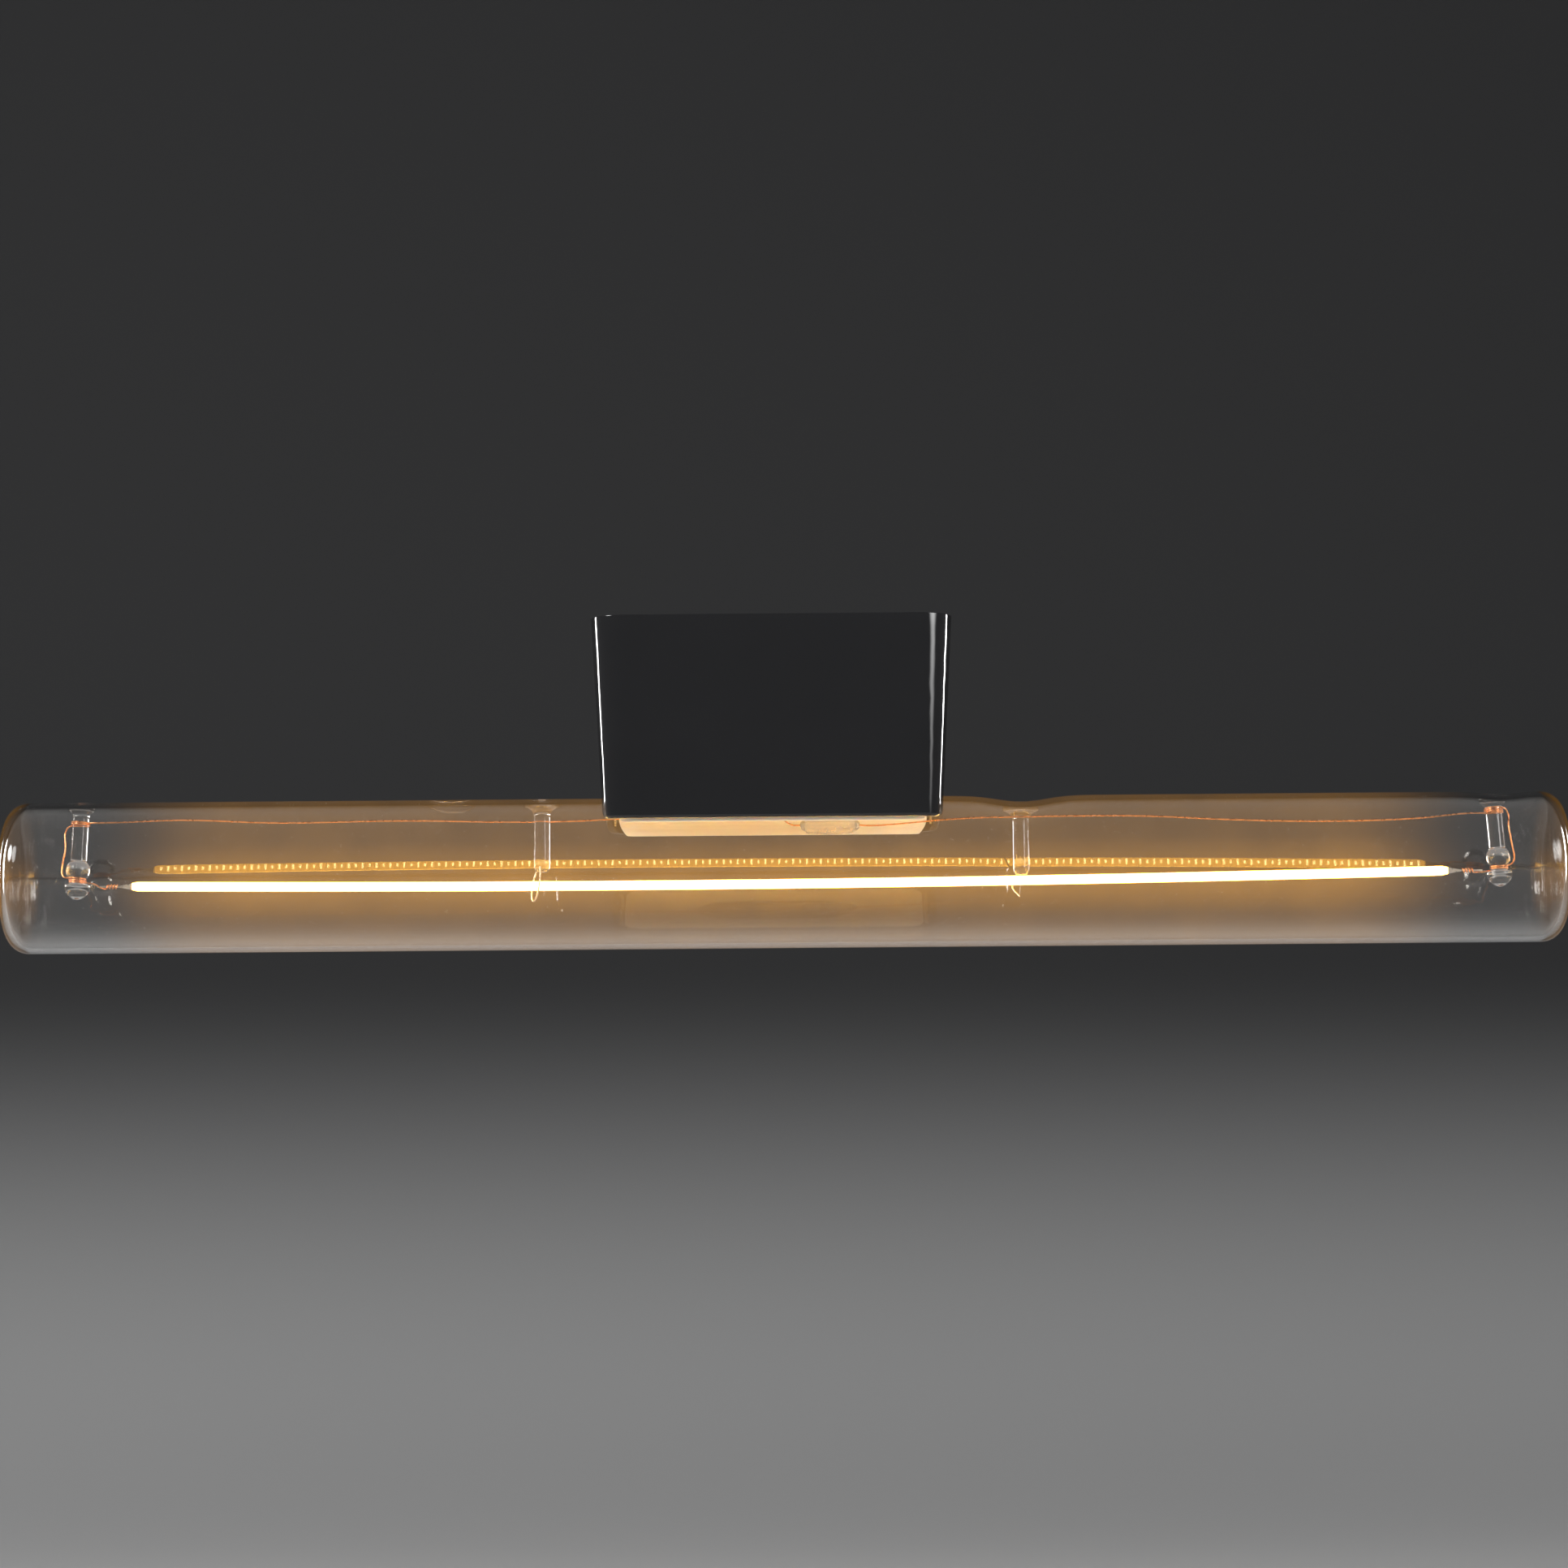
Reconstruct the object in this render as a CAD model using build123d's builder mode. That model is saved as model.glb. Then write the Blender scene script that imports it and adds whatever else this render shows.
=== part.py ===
from build123d import *
import math
import os

os.makedirs("parts", exist_ok=True)

# A linear filament lamp with one central push-fit cap, hanging in its ceiling lampholder.
# Millimetres. The origin is the middle of the holder's ceiling face, +Z points up,
# +X runs along the tube and -Y faces the viewer.

# Glass tube
TUBE_LENGTH = 300.0
TUBE_DIAMETER = 29.0
GLASS_WALL = 1.0
END_CORNER_RADIUS = 4.6
CORNER_STEPS = 3  # straight runs in the section of each rounded corner
TUBE_OFF_CENTRE = 2.2  # how far the tube's middle lies to the right of the cap's middle

# Glass posts: the end ones placed from the tube's ends, the middle ones as shares of half its length
END_POST_LEFT_INSET = 14.5
END_POST_RIGHT_INSET = 13.1
MID_POST_LEFT_SHARE = 0.31
MID_POST_RIGHT_SHARE = 0.3023
END_POST_LEFT_LEAN = 2.7  # degrees, the post's top towards +X
END_POST_RIGHT_LEAN = -4.0
END_POST_RIGHT_RAISE = 0.3  # the right end post is this much shorter than the left one
POST_DIAMETER = 3.1
POST_FOOT_HEIGHT = 1.6  # how far below the wall the trumpet-shaped foot starts
POST_FOOT_EDGE = 0.5  # how far below the wall the foot reaches its full width
END_FOOT_STEPS = 1  # straight runs in the section of each foot
MID_FOOT_STEPS = 2
END_FOOT_DIAMETER = 5.0
MID_FOOT_DIAMETER = 6.7
MID_POST_LEFT_BOTTOM = 0.44  # heights from the tube's axis
MID_POST_RIGHT_BOTTOM = -0.8
BALL_DIAMETER = 4.65
BALL_HEIGHT = 1.5
GROOVE_TOP = 0.2
GROOVE_WIDTH = 1.4
GROOVE_DIAMETER = 2.9
TIP_DIAMETER = 5.1
TIP_SHOULDER = 0.35  # from the groove down to the tip's widest place
TIP_LENGTH = 2.55  # from the widest place down to the point
TIP_POINT_DIAMETER = 0.8

# Dents in the tube where the two right-hand posts drew the wall in
MID_DENT_DEPTH = 1.35
MID_DENT_WIDTH = 16.0
END_DENT_DEPTH = 0.6
END_DENT_WIDTH = 12.0

# Filament, its line a shallow arc below the tube's axis
FILAMENT_LEFT_INSET = 24.9  # from the tube's ends
FILAMENT_RIGHT_INSET = 22.9
FILAMENT_LEFT_Z = -1.66
FILAMENT_MIDDLE_Z = -2.15
FILAMENT_RIGHT_Z = -0.63
COAT_HEIGHT = 1.8
COAT_THICKNESS = 0.9
COAT_EDGE_CHAMFER = 0.25
CARRIER_HEIGHT = 1.2
CARRIER_THICKNESS = 0.2
TAB_LENGTH = 2.6
PIN_HEIGHT = 0.3
PIN_LENGTH = 4.0
CHIP_PITCH = 3.4
CHIP_SIDE = 0.5
CHIP_THICKNESS = 0.18

# Wires
LEAD_DIAMETER = 0.3
LEAD_SIDES = 5
HOOK_DIAMETER = 0.35
HOOK_SIDE = 0.75  # the hook wires' distance from the filament's middle plane
HOOK_BEND_Z = -4.0
HOOK_BOTTOM_Z = -5.1
WIND_PITCH = 0.4
WIND_CORNERS = 6
TOP_TURNS = 13 / 6
GROOVE_TURNS = 14 / 6

# Lead-in seal, placed from the cap's middle
STEM_LEFT_X = 6.3
STEM_RIGHT_X = 15.6
STEM_DIAMETER = 3.5
STEM_Y = 1.6
STEM_Z = 9.3
STEM_BEAD_DIAMETER = 2.2
STEM_BEAD_LENGTH = 1.0
SMALL_SIDES = 12  # small round things are drawn with this many sides
NECK_X = 10.6
NECK_DIAMETER = 4.2
NECK_ABOVE_GLASS = 0.9
LEAD_PIN_DIAMETER = 0.5
LEAD_PIN_SPACING = 2.0

# Lamp cap
CAP_LENGTH = 59.6
CAP_WIDTH_SHARE = 0.8483  # share of the tube's diameter
CAP_CORNER_RADIUS = 3.5
CAP_LOWER_EDGE_SHARE = 0.6069  # height above the axis as a share of the tube's radius
CAP_DEPTH = 7.6  # from the board's seat up to the cover
CAP_WALL = 1.4
SADDLE_THICKNESS = 1.2
COVER_THICKNESS = 1.8
COVER_LIP_DEPTH = 1.2
COVER_LIP_WIDTH = 1.2
WINDOW_LENGTH = 30.6
WINDOW_WIDTH = 13.0
LEDGE_WIDTH_X = 4.4
LEDGE_WIDTH_Y = 2.0

# Driver board and its parts
BOARD_ABOVE_GLASS = 2.85
BOARD_END_GAP = 1.9
BOARD_SIDE_GAP = 0.9
BOARD_THICKNESS = 1.0
RECTIFIER_X = -9.0
RECTIFIER_LENGTH = 4.7
RECTIFIER_WIDTH = 4.0
RECTIFIER_HEIGHT = 2.5
RECTIFIER_LEG = 1.2
CAPACITOR_X = 3.0
CAPACITOR_DIAMETER = 5.0
CAPACITOR_LENGTH = 10.0
CHOKE_X = 16.0
CHOKE_DIAMETER = 5.8
CHOKE_HEIGHT = 4.6
FUSE_X = -18.5
FUSE_DIAMETER = 2.4
FUSE_LENGTH = 6.3
FUSE_LEAD_DIAMETER = 0.6
FUSE_LEAD_REACH = 1.6

# Contact plates on the cap's ends
CONTACT_WIDTH = 8.0
CONTACT_ABOVE_GLASS = 0.85
CONTACT_HEIGHT = 7.9
CONTACT_THICKNESS = 0.4
CONTACT_TAB_WIDTH = 4.0
CONTACT_TAB_ON_BOARD = 2.0

# Lampholder
HOLDER_HEIGHT = 38.5
RIM_SHARE = 0.6483  # the rim's height above the axis as a share of the tube's radius
HOLDER_CORNER_RADIUS = 4.0
HOLDER_WALL = 1.2
HOLDER_DRAFT = 3.2  # degrees
RIM_CHAMFER = 0.4
HOLDER_INNER_FLAT = 2.0  # flats across the housing's inner corners
PARTITION_THICKNESS = 1.5
SPRING_SLOT_WIDTH = 9.5
SPRING_SLOT_LENGTH = 3.4

# Holder base, terminals, springs and screws
BASE_THICKNESS = 4.0
FIXING_SPACING = 36.0
FIXING_HOLE_DIAMETER = 4.5
CABLE_HOLE_DIAMETER = 10.0
BOSS_SPACING = 20.0
BOSS_DIAMETER = 6.4
SCREW_DIAMETER = 3.0
SCREW_LENGTH = 7.0
SCREW_HEAD_DIAMETER = 5.6
SCREW_HEAD_HEIGHT = 1.9
SCREW_SLOT_WIDTH = 0.8
SCREW_SLOT_DEPTH = 0.9
TERMINAL_LENGTH = 6.5
TERMINAL_WIDTH = 9.0
TERMINAL_HEIGHT = 7.0
TERMINAL_WIRE_SLOT = 3.0
TERMINAL_WIRE_SLOT_DEPTH = 5.0
TERMINAL_SCREW_LENGTH = 2.6
SPRING_WIDTH = 8.0
SPRING_FOOT_WIDTH = 20.4
SPRING_NECK = 3.0  # how far below the partition the spring widens
SPRING_THICKNESS = 0.4

# Clearances
CEMENT_GAP = 0.05  # cap on glass, and seal in its hole
WIRE_GAP = 0.03  # wound wire on its post
SEAT_GAP = 0.15  # cover lip, board edge and slots
CAP_END_GAP = 1.25  # cap inside the housing
CAP_SIDE_GAP = 0.2
CAP_HEADROOM = 2.5  # from the cap up to the screw heads under the partition
HOLDER_GAP = 0.35  # base inside the housing, and the housing's end walls round the tube
SPRING_GAP = 0.05  # spring from the contact plate that it presses on
SCREW_GAP = 0.2

# Worked out from the sizes above
TUBE_RADIUS = TUBE_DIAMETER / 2
INNER_RADIUS = TUBE_RADIUS - GLASS_WALL
RIM_ABOVE_AXIS = RIM_SHARE * TUBE_RADIUS
AXIS_Z = -(HOLDER_HEIGHT + RIM_ABOVE_AXIS)
END_POST_LEFT_X = END_POST_LEFT_INSET - TUBE_LENGTH / 2
MID_POST_LEFT_X = -MID_POST_LEFT_SHARE * TUBE_LENGTH / 2
MID_POST_RIGHT_X = MID_POST_RIGHT_SHARE * TUBE_LENGTH / 2
END_POST_RIGHT_X = TUBE_LENGTH / 2 - END_POST_RIGHT_INSET
FILAMENT_LEFT_X = FILAMENT_LEFT_INSET - TUBE_LENGTH / 2
FILAMENT_RIGHT_X = TUBE_LENGTH / 2 - FILAMENT_RIGHT_INSET
TUBE_MIDDLE = (TUBE_OFF_CENTRE, 0, AXIS_Z)
TUBE_AXIS = Axis(TUBE_MIDDLE, (1, 0, 0))
TUBE_SECTION = Plane(origin=TUBE_MIDDLE, x_dir=(1, 0, 0), z_dir=(0, -1, 0))
POST_RADIUS = POST_DIAMETER / 2
LEAD_RADIUS = LEAD_DIAMETER / 2
CAP_WIDTH = CAP_WIDTH_SHARE * TUBE_DIAMETER
CAP_LOWER_EDGE = CAP_LOWER_EDGE_SHARE * TUBE_RADIUS  # heights from the tube's axis
RIM_LENGTH = CAP_LENGTH + 2 * (CAP_END_GAP + HOLDER_WALL)
RIM_WIDTH = CAP_WIDTH + 2 * (CAP_SIDE_GAP + HOLDER_WALL)
BOARD_LENGTH = CAP_LENGTH - 2 * (CAP_WALL + BOARD_END_GAP)
BOARD_WIDTH = CAP_WIDTH - 2 * (CAP_WALL + BOARD_SIDE_GAP)
BOARD_LEDGE_Z = TUBE_RADIUS + BOARD_ABOVE_GLASS
BOARD_TOP = BOARD_LEDGE_Z + BOARD_THICKNESS
CAP_BODY_TOP = BOARD_LEDGE_Z + CAP_DEPTH
CAP_TOP = CAP_BODY_TOP + COVER_THICKNESS
PARTITION_BOTTOM = -AXIS_Z - CAP_TOP - CAP_HEADROOM - SCREW_HEAD_HEIGHT  # depths below the ceiling face
PARTITION_DEPTH = PARTITION_BOTTOM - PARTITION_THICKNESS
CONTACT_BOTTOM = TUBE_RADIUS + CONTACT_ABOVE_GLASS
CONTACT_TOP = CONTACT_BOTTOM + CONTACT_HEIGHT
CONTACT_FACE_X = CAP_LENGTH / 2 + CONTACT_THICKNESS
DRAFT_SLOPE = math.tan(math.radians(HOLDER_DRAFT))
SIDES = (("left", -1), ("right", 1))


def from_tube(x, y, z):
    """A point given from the middle of the tube's axis, in the part's frame."""
    return (x + TUBE_OFF_CENTRE, y, z + AXIS_Z)


def level(z):
    """The horizontal plane at a height above the tube's axis, with its origin over the cap's middle."""
    return Plane.XY.offset(AXIS_Z + z)


def inner_length_at(depth):
    """Length inside the housing at a depth below the ceiling face."""
    return RIM_LENGTH - 2 * HOLDER_WALL + 2 * (HOLDER_HEIGHT - depth) * DRAFT_SLOPE


def inner_width_at(depth):
    """Width inside the housing at a depth below the ceiling face."""
    return RIM_WIDTH - 2 * HOLDER_WALL + 2 * (HOLDER_HEIGHT - depth) * DRAFT_SLOPE


def dent_radius(width, depth):
    """Radius of the roll that presses a dent of this width and depth."""
    return (width**2 / 4 + depth**2) / (2 * depth)


def arc_points(centre, radius, first, last, count):
    """Points on an arc between two angles, for a section drawn in short straight runs."""
    angles = [math.radians(first + (last - first) * i / count) for i in range(count + 1)]
    return [(centre[0] + radius * math.cos(a), centre[1] + radius * math.sin(a)) for a in angles]


def flat_cornered(length, width, flat):
    """A rectangle with its corners cut off by flats, drawn in the current sketch."""
    x = length / 2
    y = width / 2
    corners = [(x, y - flat), (x - flat, y), (flat - x, y), (-x, y - flat)]
    corners += [(-a, -b) for a, b in corners]
    with BuildLine() as edge:
        Polyline(*corners, close=True)
    make_face(edge.edges())


def envelope_half(half_length, radius, corner):
    """Half section of the tube with rounded corners at its ends, drawn in the current sketch."""
    corner_middle = (half_length - corner, radius - corner)
    end = [(half_length, 0)] + arc_points(corner_middle, corner, 0, 90, CORNER_STEPS)
    other_end = [(-x, y) for x, y in reversed(end)]
    with BuildLine() as outline:
        Polyline(*end, *other_end, close=True)
    make_face(outline.edges())


DENTS = (
    (MID_POST_RIGHT_X, MID_DENT_WIDTH, MID_DENT_DEPTH),
    (END_POST_RIGHT_X, END_DENT_WIDTH, END_DENT_DEPTH),
)

# The space inside the tube, which also trims the posts to the wall
with BuildPart() as tube_space:
    with BuildSketch(TUBE_SECTION):
        envelope_half(TUBE_LENGTH / 2 - GLASS_WALL, INNER_RADIUS, END_CORNER_RADIUS - GLASS_WALL)
    revolve(axis=TUBE_AXIS)
    for dent_x, dent_width, dent_depth in DENTS:
        roll = dent_radius(dent_width, dent_depth)
        with BuildSketch(TUBE_SECTION):
            with Locations((dent_x, TUBE_RADIUS - dent_depth + roll)):
                Circle(roll + GLASS_WALL)
        extrude(amount=TUBE_RADIUS, both=True, mode=Mode.SUBTRACT)

# Glass tube, with the hole that the lead-in seal closes
with BuildPart() as glass_tube:
    with BuildSketch(TUBE_SECTION):
        envelope_half(TUBE_LENGTH / 2, TUBE_RADIUS, END_CORNER_RADIUS)
    revolve(axis=TUBE_AXIS)
    for dent_x, dent_width, dent_depth in DENTS:
        roll = dent_radius(dent_width, dent_depth)
        with BuildSketch(TUBE_SECTION):
            with Locations((dent_x, TUBE_RADIUS - dent_depth + roll)):
                Circle(roll)
        extrude(amount=TUBE_RADIUS, both=True, mode=Mode.SUBTRACT)
    add(tube_space.part, mode=Mode.SUBTRACT)
    with BuildSketch(level(STEM_Z)):
        with Locations((NECK_X, STEM_Y)):
            RegularPolygon(NECK_DIAMETER / 2 + CEMENT_GAP, SMALL_SIDES)
    extrude(amount=TUBE_RADIUS, mode=Mode.SUBTRACT)
glass_tube.part.label = "glass_tube"
export_step(glass_tube.part, "parts/glass_tube.step")


def post_section(x, lean):
    """Plane along a leaning post, its local y up the post from the height of the tube's axis."""
    tilt = math.radians(lean)
    return Plane(
        origin=from_tube(x, 0, 0),
        x_dir=(math.cos(tilt), 0, -math.sin(tilt)),
        z_dir=(0, -1, 0),
    )


def post_foot(foot_diameter, wall_height, steps):
    """Section points of the trumpet-shaped foot, from the axis at the top down to the stem."""
    foot_radius = foot_diameter / 2
    flare = foot_radius - POST_RADIUS
    stem_top = wall_height - POST_FOOT_HEIGHT
    rise = POST_FOOT_HEIGHT - POST_FOOT_EDGE
    points = [(0, TUBE_RADIUS), (foot_radius, TUBE_RADIUS)]
    for x, z in arc_points((0, 0), 1, 90, 0, steps):
        points.append((foot_radius - flare * x, stem_top + rise * z))
    return points


# End posts: stem, ball, wire groove and drop-shaped tip
END_POSTS = (
    ("left", END_POST_LEFT_X, END_POST_LEFT_LEAN, 0.0, 0.0),
    ("right", END_POST_RIGHT_X, END_POST_RIGHT_LEAN, END_POST_RIGHT_RAISE, END_DENT_DEPTH),
)
BALL_RADIUS = BALL_DIAMETER / 2
GROOVE_RADIUS = GROOVE_DIAMETER / 2
TIP_RADIUS = TIP_DIAMETER / 2
TIP_POINT_RADIUS = TIP_POINT_DIAMETER / 2
BALL_START_RISE = math.sqrt(BALL_RADIUS**2 - POST_RADIUS**2)
BALL_END_RADIUS = math.sqrt(BALL_RADIUS**2 - (BALL_HEIGHT - GROOVE_TOP) ** 2)
for side, post_x, lean, post_raise, dent_depth in END_POSTS:
    section = post_section(post_x, lean)
    foot = post_foot(END_FOOT_DIAMETER, INNER_RADIUS - dent_depth, END_FOOT_STEPS)
    ball_z = BALL_HEIGHT + post_raise
    ball_start = (POST_RADIUS, ball_z + BALL_START_RISE)
    groove_top = GROOVE_TOP + post_raise
    groove_bottom = groove_top - GROOVE_WIDTH
    ball_end = (BALL_END_RADIUS, groove_top)
    tip_start = (TIP_RADIUS, groove_bottom - TIP_SHOULDER)
    tip_end = (TIP_POINT_RADIUS, groove_bottom - TIP_SHOULDER - TIP_LENGTH)
    with BuildPart() as end_post:
        with BuildSketch(section):
            with BuildLine():
                Polyline(*foot, ball_start)
                ThreePointArc(ball_start, (BALL_RADIUS, ball_z), ball_end)
                Polyline(
                    ball_end,
                    (GROOVE_RADIUS, groove_top),
                    (GROOVE_RADIUS, groove_bottom),
                    tip_start,
                )
                TangentArc(tip_start, tip_end, tangent=(0, -1))
                Polyline(tip_end, (0, tip_end[1]), (0, TUBE_RADIUS))
            make_face()
        revolve(axis=Axis(section.origin, section.y_dir))
        add(tube_space.part, mode=Mode.INTERSECT)
    end_post.part.label = f"end_post_{side}"
    export_step(end_post.part, f"parts/end_post_{side}.step")

# Hook wires, their points placed from the post's axis and the tube's axis
HOOK_LEFT = (
    (0.3 * HOOK_DIAMETER, -HOOK_SIDE, MID_POST_LEFT_BOTTOM),
    (0.3 * HOOK_DIAMETER, -HOOK_SIDE, MID_POST_LEFT_BOTTOM - 2 * HOOK_DIAMETER),
    (-1.4 * HOOK_DIAMETER, -HOOK_SIDE, HOOK_BEND_Z),
    (-2.6 * HOOK_DIAMETER, -0.65 * HOOK_SIDE, HOOK_BOTTOM_Z),
    (-3.7 * HOOK_DIAMETER, 0.65 * HOOK_SIDE, HOOK_BOTTOM_Z),
    (-4.3 * HOOK_DIAMETER, HOOK_SIDE, HOOK_BEND_Z),
    (-2.0 * HOOK_DIAMETER, HOOK_SIDE, MID_POST_LEFT_BOTTOM - 2 * HOOK_DIAMETER),
    (-2.0 * HOOK_DIAMETER, HOOK_SIDE, MID_POST_LEFT_BOTTOM),
)
HOOK_RIGHT = (
    (-1.7 * HOOK_DIAMETER, HOOK_SIDE, MID_POST_RIGHT_BOTTOM),
    (-1.7 * HOOK_DIAMETER, HOOK_SIDE, MID_POST_RIGHT_BOTTOM - HOOK_DIAMETER),
    (-4.6 * HOOK_DIAMETER, HOOK_SIDE, 0.8 * HOOK_BEND_Z),
    (-2.9 * HOOK_DIAMETER, 0.25 * HOOK_SIDE, 0.82 * HOOK_BOTTOM_Z),
    (-0.6 * HOOK_DIAMETER, -0.6 * HOOK_SIDE, HOOK_BOTTOM_Z),
)


def end_plane(points):
    """The plane across a path's start, facing along it."""
    start = Vector(*points[0])
    return Plane(origin=start, z_dir=Vector(*points[1]) - start)


MID_POSTS = (
    ("left", MID_POST_LEFT_X, MID_POST_LEFT_BOTTOM, 0.0, HOOK_LEFT),
    ("right", MID_POST_RIGHT_X, MID_POST_RIGHT_BOTTOM, MID_DENT_DEPTH, HOOK_RIGHT),
)
for side, post_x, bottom, dent_depth, hook in MID_POSTS:
    section = post_section(post_x, 0)
    outline = post_foot(MID_FOOT_DIAMETER, INNER_RADIUS - dent_depth, MID_FOOT_STEPS)
    outline += [(POST_RADIUS, bottom), (0, bottom)]
    with BuildPart() as mid_post:
        with BuildSketch(section):
            with BuildLine():
                Polyline(*outline, close=True)
            make_face()
        revolve(axis=Axis(section.origin, section.y_dir))
        add(tube_space.part, mode=Mode.INTERSECT)
    mid_post.part.label = f"mid_post_{side}"
    export_step(mid_post.part, f"parts/mid_post_{side}.step")

    route = [from_tube(post_x + x, y, z) for x, y, z in hook]
    with BuildPart() as hook_wire:
        with BuildLine() as hook_line:
            Polyline(*route)
        with BuildSketch(end_plane(route)):
            RegularPolygon(HOOK_DIAMETER / 2, LEAD_SIDES)
        sweep(path=hook_line.wire(), transition=Transition.RIGHT)
    hook_wire.part.label = f"hook_wire_{side}"
    export_step(hook_wire.part, f"parts/hook_wire_{side}.step")

# Filament: a metal carrier with a pin at each end, a row of chips on it and the coat round both
FILAMENT_MIDDLE_X = (FILAMENT_LEFT_X + FILAMENT_RIGHT_X) / 2
FILAMENT_LEFT = (FILAMENT_LEFT_X, FILAMENT_LEFT_Z)
FILAMENT_RIGHT = (FILAMENT_RIGHT_X, FILAMENT_RIGHT_Z)
FILAMENT_MIDDLE = (FILAMENT_MIDDLE_X, FILAMENT_MIDDLE_Z)


def filament_band(height):
    """A band of this height along the filament's line, drawn in the current sketch."""
    with BuildLine() as middle:
        ThreePointArc(FILAMENT_LEFT, FILAMENT_MIDDLE, FILAMENT_RIGHT)
    trace(middle.edges(), line_width=height)


def end_tab(end, way):
    """The tapered tab and the pin at one end of the carrier, drawn in the current sketch."""
    x, z = end
    tab_x = x + way * TAB_LENGTH
    pin_x = tab_x + way * PIN_LENGTH
    with BuildLine() as outline:
        Polyline(
            (x - way * CARRIER_HEIGHT, z + CARRIER_HEIGHT / 2),
            (x, z + CARRIER_HEIGHT / 2),
            (tab_x, z + PIN_HEIGHT / 2),
            (pin_x, z + PIN_HEIGHT / 2),
            (pin_x, z - PIN_HEIGHT / 2),
            (tab_x, z - PIN_HEIGHT / 2),
            (x, z - CARRIER_HEIGHT / 2),
            (x - way * CARRIER_HEIGHT, z - CARRIER_HEIGHT / 2),
            close=True,
        )
    make_face(outline.edges())


with BuildPart() as filament_carrier:
    with BuildSketch(TUBE_SECTION):
        filament_band(CARRIER_HEIGHT)
        end_tab(FILAMENT_LEFT, -1)
        end_tab(FILAMENT_RIGHT, 1)
    extrude(amount=CARRIER_THICKNESS / 2, both=True)
filament_carrier.part.label = "filament_carrier"
export_step(filament_carrier.part, "parts/filament_carrier.step")

chip_count = int((FILAMENT_RIGHT_X - FILAMENT_LEFT_X - CHIP_PITCH) / CHIP_PITCH)
with BuildPart() as led_chips:
    with BuildSketch(TUBE_SECTION.offset(CARRIER_THICKNESS / 2)):
        with BuildLine(mode=Mode.PRIVATE):
            filament_line = ThreePointArc(FILAMENT_LEFT, FILAMENT_MIDDLE, FILAMENT_RIGHT)
        chip_places = [filament_line @ ((i + 0.5) / chip_count) for i in range(chip_count)]
        with Locations(*chip_places):
            Rectangle(CHIP_SIDE, CHIP_SIDE)
    extrude(amount=CHIP_THICKNESS)
led_chips.part.label = "led_chips"
export_step(led_chips.part, "parts/led_chips.step")

with BuildPart() as phosphor_coat:
    with BuildSketch(TUBE_SECTION):
        filament_band(COAT_HEIGHT)
    extrude(amount=COAT_THICKNESS / 2, both=True)
    long_edges = phosphor_coat.edges().filter_by(lambda e: e.length > TUBE_RADIUS)
    chamfer(long_edges, COAT_EDGE_CHAMFER)
    with BuildSketch(TUBE_SECTION):
        filament_band(CARRIER_HEIGHT + 2 * WIRE_GAP)
    extrude(amount=CARRIER_THICKNESS / 2, both=True, mode=Mode.SUBTRACT)
    with BuildSketch(TUBE_SECTION.offset(CARRIER_THICKNESS / 2)):
        filament_band(CHIP_SIDE * 1.5)
    extrude(amount=CHIP_THICKNESS + WIRE_GAP, mode=Mode.SUBTRACT)
phosphor_coat.part.label = "phosphor_coat"
export_step(phosphor_coat.part, "parts/phosphor_coat.step")


def winding(section, first_height, radius, start_angle, turns, way):
    """Corner points of a wire wound on a leaning post, rising or falling by one pitch a turn."""
    corner_radius = radius / math.cos(math.pi / WIND_CORNERS)
    axis = section.y_dir
    across = section.x_dir
    count = round(turns * WIND_CORNERS)
    points = []
    for i in range(count + 1):
        angle = math.radians(start_angle) + 2 * math.pi * i / WIND_CORNERS
        height = first_height + way * WIND_PITCH * i / WIND_CORNERS
        point = (
            section.origin
            + axis * height
            + across * (corner_radius * math.cos(angle))
            + Vector(0, corner_radius * math.sin(angle), 0)
        )
        points.append(tuple(point))
    return points


def beside_post(section, height, out, y=0.0):
    """A point beside a leaning post, at a height along it and a distance out from its axis."""
    return tuple(section.origin + section.y_dir * height + section.x_dir * out + Vector(0, y, 0))


STEM_LEFT_END = STEM_LEFT_X - STEM_BEAD_LENGTH - TUBE_OFF_CENTRE
STEM_RIGHT_END = STEM_RIGHT_X + STEM_BEAD_LENGTH - TUBE_OFF_CENTRE
TOP_WIND_RADIUS = POST_RADIUS + LEAD_RADIUS + WIRE_GAP
GROOVE_WIND_RADIUS = GROOVE_RADIUS + LEAD_RADIUS + WIRE_GAP
GROOVE_WIND_TOP = GROOVE_TOP - LEAD_RADIUS - WIRE_GAP
GROOVE_WIND_END = GROOVE_WIND_TOP - GROOVE_TURNS * WIND_PITCH
PASS_POST = POST_RADIUS + 2 * LEAD_RADIUS  # a lead's distance from a middle post that it passes
PIN_PASS = (PIN_HEIGHT + LEAD_DIAMETER) / 2 + WIRE_GAP  # a lead's distance from the filament's pin

left_section = post_section(END_POST_LEFT_X, END_POST_LEFT_LEAN)
right_section = post_section(END_POST_RIGHT_X, END_POST_RIGHT_LEAN)
left_pin_x = FILAMENT_LEFT_X - TAB_LENGTH
right_pin_x = FILAMENT_RIGHT_X + TAB_LENGTH



def sagging(start_x, end_x, y, places):
    """Points along a lead, from shares of the way between two places and of the tube's inner radius."""
    return [from_tube(start_x + (end_x - start_x) * along, y, up * INNER_RADIUS) for along, up in places]


def beside(section, places):
    """Points beside an end post: shares of the inner radius up, of the tip's radius out, leads forward."""
    return [
        beside_post(section, up * INNER_RADIUS, out * TIP_RADIUS, back * LEAD_DIAMETER)
        for up, out, back in places
    ]


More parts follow.
